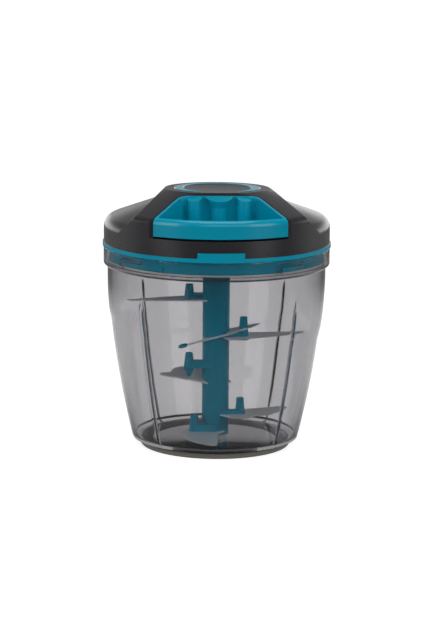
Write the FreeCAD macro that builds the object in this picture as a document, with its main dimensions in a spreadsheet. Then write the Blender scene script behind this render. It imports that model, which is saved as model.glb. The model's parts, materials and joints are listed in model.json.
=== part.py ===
import FreeCAD, Part

import math
import os
import re

import Sketcher
from FreeCAD import Placement, Rotation, Vector

# Pull-string food chopper, in millimetres, +Z up. The origin is the centre of the face that it stands on.
# The handle is pulled towards -Y, and +X is to the right of someone who faces the handle.

sizes = {
    # bowl and base ring
    "foot_inset": 4.3,
    "ring_height": 3.5,
    "ring_width": 7.0,
    "tongue_width": 2.4,
    "tongue_height": 0.9,
    "floor_thickness": 1.9,
    "bowl_wall": 2.2,
    "body_flare": 12.4,
    "foot_round": 4.5,
    "floor_round": 3.4,
    "body_curve": 490.0,
    "neck_flare": 3.65,
    "waist_height": 69.0,
    "step_height": 5.5,
    "step_width": 1.45,
    "neck_curve": 250.0,
    "collar_step": 2.45,
    "collar_bottom": 111.5,
    "collar_ledge": 2.3,
    "collar_proud": 0.1,
    "collar_wall": 1.6,
    "collar_height": 11.1,
    "rib_depth": 3.0,
    "rib_thickness": 1.5,
    "rib_drop": 14.5,
    "rib_point": 9.0,
    # bayonet
    "lug_angle": 54.5,
    "lug_span": 10.0,
    "lug_height": 2.1,
    "lug_reach": 1.1,
    "twist_angle": 16.0,
    "catch_height": 1.8,
    "catch_reach": 1.0,
    "stop_span": 3.0,
    # lid base
    "flange_lip": 0.7,
    "flange_height": 2.4,
    "skirt_gap": 1.4,
    "skirt_wall": 2.4,
    "skirt_lift": 1.5,
    "plate_drop": 1.7,
    "plate_thickness": 2.4,
    "spigot_wall": 1.8,
    "spigot_height": 5.0,
    "tab_angle": 11.6,
    "tab_height": 3.3,
    "hub_wall": 2.6,
    "hub_height": 8.0,
    "seal_width": 2.2,
    "seal_tongue": 0.9,
    # upper cover
    "lid_radius": 68.5,
    "lid_wall": 2.4,
    "shoulder_rise": 14.2,
    "shoulder_round": 7.0,
    "dome_rise": 20.0,
    "disc_radius": 31.5,
    "disc_drop": 0.95,
    "crown_radius": 30.6,
    "crown_rise": 19.15,
    "crown_tilt": 1.7,
    "bridge_drop": 11.85,
    "bridge_round": 4.0,
    "bridge_flare": 9.0,
    "bridge_draft": 45.0,
    "screw_inset": 14.5,
    "boss_radius": 3.8,
    "boss_rise": 3.4,
    "screw_radius": 1.4,
    "screw_head": 3.1,
    "screw_length": 11.0,
    # crescent inlay
    "inlay_radius": 26.2,
    "inlay_waist": 20.6,
    "inlay_depth": 25.4,
    "inlay_shift": 1.6,
    "inlay_tip": 11.7,
    "inlay_sink": 1.2,
    "inlay_proud": 0.3,
    "dish_depth": 0.8,
    "dish_flatness": 12.5,
    # pull handle
    "handle_front": 39.6,
    "handle_front_depth": 56.0,
    "handle_back_half": 24.0,
    "reel_clear": 1.9,
    "handle_round": 4.5,
    "handle_height": 21.95,
    "handle_gap": 0.7,
    "handle_floor": 2.0,
    "front_wall": 2.3,
    "rim_width": 2.0,
    "pillar_inset": 3.0,
    "pillar_radius": 4.3,
    "pillar_place": 14.7,
    "middle_radius": 4.9,
    "middle_flare": 8.4,
    "flare_height": 7.0,
    "grip_rib": 0.5,
    "grip_place": 19.4,
    "grip_step": 1.7,
    "pillar_step": 1.0,
    "pocket_wall": 2.0,
    "pocket_lift": 1.3,
    "bevel_width": 2.4,
    "bevel_depth": 1.2,
    "plate_width": 34.0,
    "plate_rise": 13.0,
    "back_thickness": 1.2,
    # reel, spring, cord and clutch
    "reel_radius": 25.4,
    "flange_thickness": 1.5,
    "drum_radius": 18.0,
    "drum_wall": 2.0,
    "drum_height": 8.0,
    "cord_rise": 7.3,
    "cord_radius": 1.0,
    "wound_depth": 4.0,
    "arbor_radius": 4.6,
    "axle_radius": 2.0,
    "axle_drop": 6.65,
    "spring_thickness": 0.5,
    "spring_pitch": 2.1,
    "spring_turns": 5,
    "cover_thickness": 1.2,
    "cup_lift": 2.1,
    "cup_floor": 2.4,
    "cup_radius": 16.5,
    "cup_wall": 2.6,
    "cup_clear": 0.7,
    "tooth_count": 8,
    "tooth_depth": 1.6,
    "clutch_hub": 6.0,
    "pawl_radius": 9.0,
    "pawl_pin": 1.0,
    "pawl_swing": 40.0,
    "pawl_play": 7.5,
    "pawl_width": 2.4,
    "pawl_height": 6.5,
    "journal_radius": 8.2,
    "bush_wall": 1.5,
    "plug_core": 3.4,
    "plug_radius": 5.0,
    "plug_wing": 36.0,
    "plug_depth": 8.4,
    "eyelet_bore": 1.6,
    "eyelet_radius": 3.0,
    "lip_width": 1.0,
    # blade unit
    "shaft_radius": 8.25,
    "shaft_lift": 0.9,
    "shaft_clear": 0.6,
    "core_radius": 4.4,
    "pin_radius": 3.0,
    "pin_length": 13.0,
    "arm_width": 6.0,
    "arm_height": 4.4,
    "post_root": 3.3,
    "post_tip": 2.2,
    "blade_thickness": 0.9,
    "long_clear": 2.8,
    "broad_clear": 3.6,
    "lower_clear": 0.9,
    "tailed_blade": 27.8,
    "leaf_blade": 34.5,
    # fits
    "seat_gap": 0.3,
    "running_gap": 0.05,
    "small_gap": 0.1,
}

# Heights and reaches that follow from the sizes: radii from the lid inwards, heights from the worktop up
derived = {
    "collar_radius": "lid_radius + collar_proud",
    "flange_radius": "lid_radius + flange_lip",
    "neck_radius": "collar_radius - collar_step",
    "waist_radius": "neck_radius - neck_flare",
    "foot_radius": "waist_radius - body_flare",
    "ring_radius": "foot_radius - foot_inset",
    "rib_top": "collar_bottom - rib_drop",
    "rim_height": "collar_bottom + collar_height",
    "skirt_bottom": "collar_bottom + collar_ledge + skirt_lift",
    "flange_top": "rim_height + seat_gap + flange_height",
    "plate_top": "rim_height + seat_gap - plate_drop",
    "plate_bottom": "plate_top - plate_thickness",
    "shoulder_height": "flange_top + shoulder_rise",
    "crown_height": "shoulder_height + crown_rise",
    "disc_height": "crown_height - disc_drop",
    "bridge_foot": "crown_height - bridge_drop",
    "handle_bottom": "crown_height - handle_height",
    "handle_depth": "reel_radius + reel_clear + pocket_wall + handle_gap",
    "pillar_depth": "handle_depth + pillar_inset",
    "screw_circle": "lid_radius - screw_inset",
    "cord_height": "handle_bottom + cord_rise",
    "cup_bottom": "plate_top + cup_lift",
    "cup_height": "cord_height - drum_height / 2 - flange_thickness - cup_clear - cup_bottom",
    "axle_bottom": "cup_bottom + seat_gap",
    "axle_top": "crown_height - axle_drop",
    "shaft_bottom": "ring_height + floor_thickness + shaft_lift",
    "shaft_top": "plate_top - hub_height + seat_gap - shaft_clear",
    "plug_bottom": "shaft_top - plug_depth",
    "long_blade": "waist_radius - bowl_wall - rib_depth - long_clear",
    "broad_blade": "foot_radius - bowl_wall - broad_clear",
    "lower_blade": "foot_radius - bowl_wall - lower_clear",
}

doc = FreeCAD.newDocument("chopper")
sheet = doc.addObject("Spreadsheet::Sheet", "Sizes")
for row, (alias, number) in enumerate(sizes.items(), 1):
    sheet.set(f"A{row}", alias)
    sheet.set(f"B{row}", str(number))
    sheet.setAlias(f"B{row}", alias)
doc.recompute()


def linked(text):
    """The expression with each size name pointing at its cell and each derived name written out."""
    def spelled(match):
        word = match[0]
        if word in derived:
            return f"({linked(derived[word])})"
        return f"Sizes.{word}" if word in sizes else word
    return re.sub(r"[a-z_]+", spelled, str(text))


def value(text):
    """What an expression in size names comes to now."""
    return float(sheet.evalExpression(linked(text)))


def new_body(label):
    body = doc.addObject("PartDesign::Body", label)
    body.Label = label
    return body


def plane_of(body, role):
    return next(f for f in body.Origin.OriginFeatures if f.Role == role)


def arc_between(start, end, radius, turn):
    """An arc from start to end, turning left for +1 and right for -1, as a counter-clockwise circle arc."""
    middle = (start + end) * 0.5
    chord = end - start
    left = Vector(-chord.y, chord.x, 0).normalize()
    rise = math.sqrt(max(radius ** 2 - (chord.Length / 2) ** 2, 0.0))
    centre = middle + left * (rise * turn)
    first, last = (start, end) if turn > 0 else (end, start)
    angle_first = math.atan2(first.y - centre.y, first.x - centre.x)
    angle_last = math.atan2(last.y - centre.y, last.x - centre.x)
    if angle_last < angle_first:
        angle_last += 2 * math.pi
    return Part.ArcOfCircle(Part.Circle(centre, Vector(0, 0, 1), radius), angle_first, angle_last)


def outline(body, name, role, corners, arcs=None, height="0", turn="0"):
    """A closed sketch through the corners. arcs gives {edge: (radius, +1 left or -1 right)}."""
    arcs = arcs or {}
    sketch = body.newObject("Sketcher::SketchObject", name)
    sketch.AttachmentSupport = [(plane_of(body, role), "")]
    sketch.MapMode = "FlatFace"
    sketch.AttachmentOffset = Placement(Vector(0, 0, 0), Rotation(Vector(0, 1, 0), value(turn)))
    sketch.setExpression("AttachmentOffset.Base.z", linked(height))
    points = [Vector(value(x), value(y), 0) for x, y in corners]
    count = len(points)
    starts, ends = [], []
    for i, point in enumerate(points):
        following = points[(i + 1) % count]
        if i in arcs:
            radius, side = arcs[i]
            sketch.addGeometry(arc_between(point, following, value(radius), side))
            starts.append(1 if side > 0 else 2)
            ends.append(2 if side > 0 else 1)
        else:
            sketch.addGeometry(Part.LineSegment(point, following))
            starts.append(1)
            ends.append(2)
    for i in range(count):
        after = (i + 1) % count
        sketch.addConstraint(Sketcher.Constraint("Coincident", i, ends[i], after, starts[after]))
    for i, (x, y) in enumerate(corners):
        sides = (("DistanceX", -2, x, points[i].x), ("DistanceY", -1, y, points[i].y))
        for kind, axis, text, number in sides:
            if str(text) == "0":
                sketch.addConstraint(Sketcher.Constraint("PointOnObject", i, starts[i], axis))
                continue
            k = sketch.addConstraint(Sketcher.Constraint(kind, -1, 1, i, starts[i], number))
            sketch.setExpression(f"Constraints[{k}]", linked(text))
    for i, (radius, side) in arcs.items():
        k = sketch.addConstraint(Sketcher.Constraint("Radius", i, value(radius)))
        sketch.setExpression(f"Constraints[{k}]", linked(radius))
    sketch.Visibility = False
    return sketch


def revolved(label, corners, arcs=None):
    """A body turned about Z from a profile of (radius, height) corners."""
    body = new_body(label)
    sketch = outline(body, label + "_profile", "XZ_Plane", corners, arcs)
    turning = body.newObject("PartDesign::Revolution", label + "_turned")
    turning.Profile = sketch
    turning.ReferenceAxis = (sketch, ["V_Axis"])
    turning.Angle = 360
    return body


def padded(label, corners, bottom, top, arcs=None):
    """A body with a flat outline in plan, from one height to another."""
    body = new_body(label)
    sketch = outline(body, label + "_plan", "XY_Plane", corners, arcs, height=bottom)
    pad = body.newObject("PartDesign::Pad", label + "_pad")
    pad.Profile = sketch
    pad.setExpression("Length", linked(f"({top}) - ({bottom})"))
    return body


def sector(label, inner, outer, bottom, top, start, end):
    """A block between two radii, two heights and two angles counted from the front towards +X."""
    def at(radius, angle):
        return f"({radius}) * sin({angle})", f"0 - ({radius}) * cos({angle})"
    corners = [at(inner, start), at(outer, start), at(outer, end), at(inner, end)]
    return padded(label, corners, bottom, top, {1: (outer, 1), 3: (inner, -1)})


def cylinder(label, radius, bottom, top, x="0", y="0"):
    piece = doc.addObject("Part::Cylinder", label)
    piece.setExpression("Radius", linked(radius))
    piece.setExpression("Height", linked(f"({top}) - ({bottom})"))
    piece.setExpression("Placement.Base.x", linked(x))
    piece.setExpression("Placement.Base.y", linked(y))
    piece.setExpression("Placement.Base.z", linked(bottom))
    return piece


def joined(label, pieces):
    result = doc.addObject("Part::MultiFuse", label)
    result.Shapes = pieces
    result.Label = label
    return result


def cut(label, base, tools):
    """The base with every tool taken away."""
    tool = tools[0] if len(tools) == 1 else joined(label + "_tools", tools)
    result = doc.addObject("Part::Cut", label)
    result.Base = base
    result.Tool = tool
    result.Label = label
    return result


def shared(label, first, second):
    """What two pieces have in common."""
    result = doc.addObject("Part::Common", label)
    result.Base = first
    result.Tool = second
    result.Label = label
    return result


def circle_edges(shape, radius, height):
    """Names of the round edges at this radius and height about the Z axis."""
    names = []
    for i, edge in enumerate(shape.Edges, 1):
        if not isinstance(edge.Curve, Part.Circle):
            continue
        near = abs(edge.Curve.Radius - radius) < 0.01 and abs(edge.Curve.Center.z - height) < 0.01
        if near and math.hypot(edge.Curve.Center.x, edge.Curve.Center.y) < 0.01:
            names.append(f"Edge{i}")
    return names


def solid_part(label, shape):
    """A part whose shape is worked out here from the sizes."""
    piece = doc.addObject("Part::Feature", label)
    piece.Label = label
    piece.Shape = shape
    return piece


# Places that several pieces share
floor_top = "ring_height + floor_thickness"
ledge_top = "collar_bottom + collar_ledge"
collar_inner = "collar_radius - collar_wall"
skirt_outer = "collar_radius - collar_wall - skirt_gap"
flange_bottom = "rim_height + seat_gap"
quarter_turns = (0, 90, 180, 270)
dome_slope = "tan(dome_rise)"


def bowl():
    """Clear bowl: a barrel wall with a soft step, a wide collar, four mixing ribs and four catches."""
    inner_foot = "foot_radius - bowl_wall + floor_thickness / 4"
    step_radius = "waist_radius + step_width"
    step_top = "waist_height + step_height"
    corners = [
        ("0", "ring_height"),
        ("foot_radius", "ring_height"),
        ("waist_radius", "waist_height"),
        (step_radius, step_top),
        ("neck_radius", "collar_bottom"),
        ("collar_radius", "collar_bottom"),
        ("collar_radius", "rim_height"),
        (collar_inner, "rim_height"),
        (collar_inner, ledge_top),
        ("neck_radius - bowl_wall", ledge_top),
        (step_radius + " - bowl_wall", step_top),
        ("waist_radius - bowl_wall", "waist_height"),
        (inner_foot, floor_top),
        ("0", floor_top),
    ]
    arcs = {1: ("body_curve", 1), 3: ("neck_curve", 1), 9: ("neck_curve", -1), 11: ("body_curve", -1)}
    wall = revolved("bowl_wall_body", corners, arcs)
    doc.recompute()
    rounding = wall.newObject("PartDesign::Fillet", "foot_rounding")
    turned = wall.getObject("bowl_wall_body_turned")
    rounding.Base = (turned, circle_edges(turned.Shape, value("foot_radius"), value("ring_height")))
    rounding.setExpression("Radius", linked("foot_round"))
    doc.recompute()
    inner = wall.newObject("PartDesign::Fillet", "floor_rounding")
    inner.Base = (rounding, circle_edges(rounding.Shape, value(inner_foot), value(floor_top)))
    inner.setExpression("Radius", linked("floor_round"))
    groove = revolved("ring_groove", tongue_corners("0", "seat_gap / 3"))
    # One rib stands in the wall; its inner edge keeps the wall's curve and its top runs to a point.
    rib = new_body("rib")
    depth = "(bowl_wall + rib_depth)"
    rib_corners = [
        ("foot_radius - bowl_wall / 2", floor_top + " - floor_thickness / 2"),
        ("waist_radius - bowl_wall / 2", "waist_height"),
        ("waist_radius + step_width - bowl_wall / 2", "rib_top"),
        ("waist_radius + step_width - " + depth, "rib_top - rib_point"),
        ("waist_radius - " + depth, "waist_height"),
        ("foot_radius - " + depth, floor_top + " - floor_thickness / 2"),
    ]
    rib_arcs = {0: ("body_curve", 1), 4: ("body_curve", -1)}
    sketch = outline(rib, "rib_profile", "XZ_Plane", rib_corners, rib_arcs, turn="45")
    pad = rib.newObject("PartDesign::Pad", "rib_pad")
    pad.Profile = sketch
    pad.Midplane = True
    pad.setExpression("Length", linked("rib_thickness"))
    doc.recompute()
    turns = rib.newObject("PartDesign::PolarPattern", "ribs")
    turns.Originals = [pad]
    turns.Axis = (plane_axis(rib), [""])
    turns.Angle = 360
    turns.Occurrences = 4
    rib.Tip = turns
    pieces = [wall, rib]
    catch_bottom = "skirt_bottom + seat_gap * 3 + lug_height + seat_gap"
    inside = f"{collar_inner} - catch_reach"
    within = f"{collar_inner} + collar_wall / 2"
    for n in quarter_turns:
        locked = f"lug_angle + {n} - twist_angle - lug_span / 2"
        pieces.append(sector(f"catch_{n}", inside, within, catch_bottom, f"{catch_bottom} + catch_height",
                             f"{locked} - stop_span / 2", f"{locked} + twist_angle - stop_span"))
        pieces.append(sector(f"stop_{n}", inside, within, ledge_top, f"{catch_bottom} + catch_height / 2",
                             f"{locked} - stop_span * 4 / 3", f"{locked} - stop_span / 3"))
    whole = joined("bowl_whole", pieces)
    return cut("bowl", whole, [groove])


def plane_axis(body):
    return next(f for f in body.Origin.OriginFeatures if f.Role == "Z_Axis")


def tongue_corners(bottom, spare):
    """The ring's tongue, or with some spare the groove that it sits in."""
    middle = "ring_radius - ring_width / 2"
    return [
        (f"{middle} - tongue_width / 2 - {spare}", bottom if bottom != "0" else "ring_height - 1"),
        (f"{middle} + tongue_width / 2 + {spare}", bottom if bottom != "0" else "ring_height - 1"),
        (f"{middle} + tongue_width / 2 + {spare}", f"ring_height + tongue_height + {spare}"),
        (f"{middle} - tongue_width / 2 - {spare}", f"ring_height + tongue_height + {spare}"),
    ]


def base_ring():
    """Non-slip ring with a tongue that is pressed into a groove of the bowl's foot."""
    middle = "ring_radius - ring_width / 2"
    return revolved("base_ring", [
        ("ring_radius - ring_width", "0"),
        ("ring_radius - 0.8", "0"),
        ("ring_radius", "0.8"),
        ("ring_radius", "ring_height"),
        (f"{middle} + tongue_width / 2", "ring_height"),
        (f"{middle} + tongue_width / 2", "ring_height + tongue_height"),
        (f"{middle} - tongue_width / 2", "ring_height + tongue_height"),
        (f"{middle} - tongue_width / 2", "ring_height"),
        ("ring_radius - ring_width", "ring_height"),
    ])


def pivot_pin():
    """Steel pin that stands on the bowl's floor inside the shaft's bore."""
    return revolved("pivot_pin", [
        ("0", floor_top),
        ("pin_radius", floor_top),
        ("pin_radius", f"{floor_top} + pin_length - 1"),
        ("pin_radius - 1", f"{floor_top} + pin_length"),
        ("0", f"{floor_top} + pin_length"),
    ])


def lid_base():
    """Teal base of the lid: flange, skirt, gear plate, hub, spigot, front tab and four lugs."""
    hub_inner = "journal_radius + running_gap + bush_wall"
    hub_outer = f"{hub_inner} + hub_wall"
    hub_bottom = "plate_top - hub_height"
    spigot_outer = "lid_radius - lid_wall - small_gap"
    body = revolved("lid_base_turned", [
        (hub_inner, hub_bottom),
        (hub_outer, hub_bottom),
        (hub_outer, "plate_bottom"),
        (f"{skirt_outer} - skirt_wall", "plate_bottom"),
        (f"{skirt_outer} - skirt_wall", "skirt_bottom"),
        (skirt_outer, "skirt_bottom"),
        (skirt_outer, flange_bottom),
        ("flange_radius", flange_bottom),
        ("flange_radius", "flange_top"),
        (spigot_outer, "flange_top"),
        (spigot_outer, "flange_top + spigot_height"),
        (f"{spigot_outer} - spigot_wall", "flange_top + spigot_height"),
        (f"{spigot_outer} - spigot_wall", "plate_top"),
        (hub_inner, "plate_top"),
    ])
    pieces = [body]
    pieces.append(sector("front_tab", f"{spigot_outer} - spigot_wall / 2", "flange_radius",
                         "flange_top - flange_height / 2", "flange_top + tab_height",
                         "0 - tab_angle", "tab_angle"))
    lug_bottom = "skirt_bottom + seat_gap * 3"
    for n in quarter_turns:
        pieces.append(sector(f"lug_{n}", f"{skirt_outer} - skirt_wall / 2", f"{skirt_outer} + lug_reach",
                             lug_bottom, f"{lug_bottom} + lug_height",
                             f"lug_angle + {n} - lug_span / 2", f"lug_angle + {n} + lug_span / 2"))
    whole = joined("lid_base_whole", pieces)
    seal_groove = revolved("seal_groove", seal_corners("small_gap", groove=True))
    tools = [seal_groove]
    for n in quarter_turns:
        tools.append(cylinder(f"screw_hole_{n}", "screw_radius + small_gap", "plate_bottom - 1", "plate_top + 1",
                              f"screw_circle * cos({n} + 45)", f"screw_circle * sin({n} + 45)"))
    return cut("lid_base", whole, tools)


def seal_corners(spare, groove=False):
    """Seal under the skirt with a tongue up into it, or the groove for that tongue."""
    middle = f"({skirt_outer} - skirt_wall / 2)"
    tongue_top = "skirt_bottom + seal_tongue * 2"
    if groove:
        return [
            (f"{middle} - seal_tongue / 2 - {spare}", "skirt_bottom - 1"),
            (f"{middle} + seal_tongue / 2 + {spare}", "skirt_bottom - 1"),
            (f"{middle} + seal_tongue / 2 + {spare}", f"{tongue_top} + {spare}"),
            (f"{middle} - seal_tongue / 2 - {spare}", f"{tongue_top} + {spare}"),
        ]
    shoulder = "skirt_bottom - small_gap"
    return [
        (f"{middle} - seal_width / 2", f"{ledge_top} + seat_gap"),
        (f"{middle} + seal_width / 2", f"{ledge_top} + seat_gap"),
        (f"{middle} + seal_width / 2", shoulder),
        (f"{middle} + seal_tongue / 2", shoulder),
        (f"{middle} + seal_tongue / 2", tongue_top),
        (f"{middle} - seal_tongue / 2", tongue_top),
        (f"{middle} - seal_tongue / 2", shoulder),
        (f"{middle} - seal_width / 2", shoulder),
    ]


def housing_screws():
    """Four pan-head screws from below, one group."""
    screws = []
    for n in quarter_turns:
        x = f"screw_circle * cos({n} + 45)"
        y = f"screw_circle * sin({n} + 45)"
        head = cylinder(f"screw_head_{n}", "screw_head", "plate_bottom - 1.8", "plate_bottom", x, y)
        shank = cylinder(f"screw_shank_{n}", "screw_radius - running_gap", "plate_bottom - 0.5",
                         "plate_bottom - 0.5 + screw_length", x, y)
        screws.append(joined(f"screw_{n}", [head, shank]))
    group = doc.addObject("Part::Compound", "housing_screws")
    group.Links = screws
    group.Label = "housing_screws"
    return group


def crown_place():
    """The top disc's plane, which falls slightly towards the back."""
    return Placement(Vector(0, 0, value("disc_height")), Rotation(Vector(1, 0, 0), -value("crown_tilt")))


def dome_and_bridge():
    """Outer form of the lid: a low dome, and a raised bridge that widens from the crown to the front wall."""
    tangent = "shoulder_round * tan(45 - dome_rise / 2)"
    dome_top = f"shoulder_height + (lid_radius - crown_radius) * {dome_slope}"
    dome = revolved("dome", [
        ("0", "flange_top"),
        ("lid_radius", "flange_top"),
        ("lid_radius", f"shoulder_height - {tangent}"),
        (f"lid_radius - {tangent} * cos(dome_rise)", f"shoulder_height + {tangent} * sin(dome_rise)"),
        ("crown_radius", dome_top),
        ("0", dome_top),
    ], {2: ("shoulder_round", 1)})
    run = "(lid_radius - crown_radius)"
    rise = "(crown_height - bridge_foot)"
    slant = f"sqrt({run} * {run} + {rise} * {rise})"
    bend = f"bridge_round * ({slant} - {rise}) / {run}"
    cone = revolved("bridge_cone", [
        ("0", "flange_top"),
        ("lid_radius", "flange_top"),
        ("lid_radius", f"bridge_foot - {bend}"),
        (f"lid_radius - {bend} * {run} / {slant}", f"bridge_foot + {bend} * {rise} / {slant}"),
        ("crown_radius", "crown_height"),
        ("0", "crown_height"),
    ], {2: ("bridge_round", 1)})
    drop = "(crown_height - flange_top)"
    back = doc.addObject("Part::Cone", "bridge_back")
    back.setExpression("Radius1", linked(f"crown_radius + {drop} * tan(bridge_draft)"))
    back.setExpression("Radius2", linked("crown_radius"))
    back.setExpression("Height", linked(drop))
    back.setExpression("Placement.Base.z", linked(f"crown_height - {drop}"))
    flanks = []
    sides = (("right", "", "0 - ", "bridge_flare"), ("left", "0 - ", "", "0 - bridge_flare"))
    for name, sign, other, turn in sides:
        flank = new_body(f"flank_{name}")
        far_side = f"{other}lid_radius * 0.3"
        plan = outline(flank, f"flank_{name}_profile", "XZ_Plane", [
            (far_side, "crown_height"),
            (f"{sign}crown_radius", "crown_height"),
            (f"{sign}(crown_radius + {drop} * tan(bridge_draft))", f"crown_height - {drop}"),
            (far_side, f"crown_height - {drop}"),
        ], turn=turn)
        pad = flank.newObject("PartDesign::Pad", f"flank_{name}_pad")
        pad.Profile = plan
        pad.setExpression("Length", linked("lid_radius * 1.3"))
        flanks.append(flank)
    key = joined("bridge_key", [back] + flanks)
    bridge = shared("bridge", cone, key)
    raw = doc.addObject("Part::Fuse", "lid_raw")
    raw.Base = dome
    raw.Tool = bridge
    slope = doc.addObject("Part::Box", "crown_slope")
    for side in ("Length", "Width"):
        slope.setExpression(side, linked("lid_radius * 3"))
    slope.setExpression("Height", linked("lid_radius / 3"))
    middle = Vector(-value("lid_radius") * 1.5, -value("lid_radius") * 1.5, 0)
    slope.Placement = crown_place() * Placement(middle, Rotation())
    return cut("lid_form", raw, [slope])


def handle_prism(label, grow, bottom, top):
    """The handle's outline in plan, straight up, grown or shrunk by one distance all round."""
    front = "0 - lid_radius * 1.3"
    slope = "((handle_front - handle_back_half) / (handle_front_depth - handle_depth))"
    slant = f"sqrt(1 + {slope} * {slope})"
    back_y = f"0 - handle_depth + ({grow})"
    back_x = f"(handle_back_half - ({grow}) * {slope} + ({grow}) * {slant})"
    front_x = f"(handle_back_half + (lid_radius * 1.3 - handle_depth) * {slope} + ({grow}) * {slant})"
    tangent = f"(handle_round + ({grow})) * ({slant} - {slope})"
    side_x = f"({back_x} + {tangent} * {slope} / {slant})"
    side_y = f"{back_y} - {tangent} / {slant}"
    end_x = f"({back_x} - {tangent})"
    corner = (f"handle_round + ({grow})", 1)
    return padded(label, [
        (f"0 - {front_x}", front),
        (front_x, front),
        (side_x, side_y),
        (end_x, back_y),
        (f"0 - {end_x}", back_y),
        (f"0 - {side_x}", side_y),
    ], bottom, top, {2: corner, 4: corner})


def top_cover(form):
    """Charcoal cover: a shell with the handle's pocket, its floor and walls, screw bosses and an arbor."""
    ceiling = "disc_height - lid_wall"
    inner = "lid_radius - lid_wall"
    shoulder_inner = "shoulder_height - lid_wall * 1.1"
    disc_inner = "disc_radius - lid_wall"
    shell_radius = "(disc_radius + lid_wall * 1.5)"
    cavity = revolved("cover_cavity", [
        ("0", "flange_top - 1"),
        (inner, "flange_top - 1"),
        (inner, shoulder_inner),
        (shell_radius, f"{shoulder_inner} + ({inner} - {shell_radius}) * {dome_slope}"),
        (disc_inner, ceiling),
        ("0", ceiling),
    ])
    shell = cut("cover_shell", form, [cavity])
    pocket_bottom = "handle_bottom - pocket_lift"
    floor = f"{pocket_bottom} - pocket_wall"
    block = handle_prism("pocket_block", "handle_gap + pocket_wall", floor, "crown_height")
    inside = shared("pocket_walls", form, block)
    pieces = [shell, inside]
    for n in quarter_turns:
        boss = cylinder(f"boss_{n}", "boss_radius", "plate_top", "shoulder_height + boss_rise",
                        f"screw_circle * cos({n} + 45)", f"screw_circle * sin({n} + 45)")
        pieces.append(boss)
    arbor_bottom = "cord_height - drum_height / 2 + small_gap * 4"
    pieces.append(cylinder("arbor", "arbor_radius", arbor_bottom, f"{ceiling} + 1"))
    whole = joined("cover_whole", pieces)
    pocket = handle_prism("pocket", "handle_gap", pocket_bottom, "crown_height + 1")
    notch = sector("tab_notch", f"{inner} - 1", "lid_radius + 2", "flange_top - 1",
                   "flange_top + tab_height + small_gap",
                   "0 - tab_angle - small_gap * 3", "tab_angle + small_gap * 3")
    tools = [pocket, notch]
    tools.append(cylinder("axle_bore", "axle_radius", "0", "axle_top"))
    for n in quarter_turns:
        tools.append(cylinder(f"pilot_{n}", "screw_radius - running_gap", "plate_top - 1",
                              "plate_bottom - 0.5 + screw_length",
                              f"screw_circle * cos({n} + 45)", f"screw_circle * sin({n} + 45)"))
    tools.append(eyelet_shape("eyelet_hole", solid=True))
    tools.append(inlay_shape("inlay_seat", "0", "inlay_sink"))
    tools.append(crown_dish())
    tools += [pocket_bevel("left", -1), pocket_bevel("right", 1)]
    return cut("top_cover", whole, tools)


def crown_dish():
    """Lens-shaped hollow within the inlay's oval: the low end of a large flat ellipsoid."""
    dish = doc.addObject("Part::Ellipsoid", "crown_dish")
    share = "(1 - 1 / dish_flatness)"
    wide = f"sqrt(1 - {share} * {share})"
    dish.setExpression("Radius1", linked("dish_depth * dish_flatness"))
    dish.setExpression("Radius2", linked(f"inlay_waist / {wide}"))
    dish.setExpression("Radius3", linked(f"inlay_depth / {wide}"))
    lift = Vector(0, -value("inlay_shift"), value("dish_depth * (dish_flatness - 1)"))
    dish.Placement = crown_place() * Placement(lift, Rotation())
    return dish


def pocket_bevel(name, sign):
    """Upright bevel where the pocket's side wall meets the cover's outside."""
    slope = value("(handle_front - handle_back_half) / (handle_front_depth - handle_depth)")
    slant = math.hypot(1, slope)
    foot = value("handle_back_half") + value("handle_gap") * slant - value("handle_depth") * slope
    radius = value("lid_radius")
    root = math.sqrt((foot * slope) ** 2 - slant ** 2 * (foot ** 2 - radius ** 2))
    depth = (root - foot * slope) / slant ** 2
    corner = Vector(foot + slope * depth, -depth, 0)
    inward = Vector(-slope, 1, 0) * (value("bevel_depth") / slant)
    along = Vector(depth, corner.x, 0) * (value("bevel_width") / radius)
    spare = (along - inward) * 0.3
    points = [corner + inward - spare, corner + along + spare, corner * 1.1]
    points = [Vector(p.x * sign, p.y, value("handle_bottom - pocket_lift")) for p in points]
    face = Part.Face(Part.makePolygon(points + points[:1]))
    return solid_part(f"pocket_bevel_{name}", face.extrude(Vector(0, 0, value("handle_height + pocket_lift"))))


def eyelet_shape(label, solid=False):
    """Eyelet in the pocket's back wall, turned about the cord's own line."""
    start = "handle_depth - handle_gap - pocket_wall"
    bore = "0" if solid else "eyelet_bore"
    body = new_body(label)
    lip = "eyelet_radius + lip_width"
    sketch = outline(body, label + "_profile", "XY_Plane", [
        (bore, f"0 - ({start}) + lip_width"),
        (lip, f"0 - ({start}) + lip_width"),
        (lip, f"0 - ({start})"),
        ("eyelet_radius", f"0 - ({start})"),
        ("eyelet_radius", f"0 - ({start}) - pocket_wall"),
        (bore, f"0 - ({start}) - pocket_wall"),
    ], height="cord_height")
    turning = body.newObject("PartDesign::Revolution", label + "_turned")
    turning.Profile = sketch
    turning.ReferenceAxis = (sketch, ["V_Axis"])
    turning.Angle = 360
    return body


def inlay_shape(label, proud, sink):
    """C-shaped inlay: a round outside, an oval inside, open at the front between two tips."""
    disc = cylinder(label + "_disc", "inlay_radius", f"0 - {sink}", proud)
    oval = doc.addObject("Part::Ellipsoid", label + "_oval")
    oval.setExpression("Radius1", linked("disc_height"))
    oval.setExpression("Radius2", linked("inlay_waist"))
    oval.setExpression("Radius3", linked("inlay_depth"))
    oval.setExpression("Placement.Base.y", linked("0 - inlay_shift"))
    mouth = padded(label + "_mouth", [
        ("0 - inlay_tip", "0 - inlay_radius - 1"),
        ("inlay_tip", "0 - inlay_radius - 1"),
        ("inlay_tip", "0"),
        ("0 - inlay_tip", "0"),
    ], f"0 - {sink} - 1", f"{proud} + 1")
    inlay = cut(label, disc, [oval, mouth])
    inlay.Placement = crown_place()
    return inlay


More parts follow.
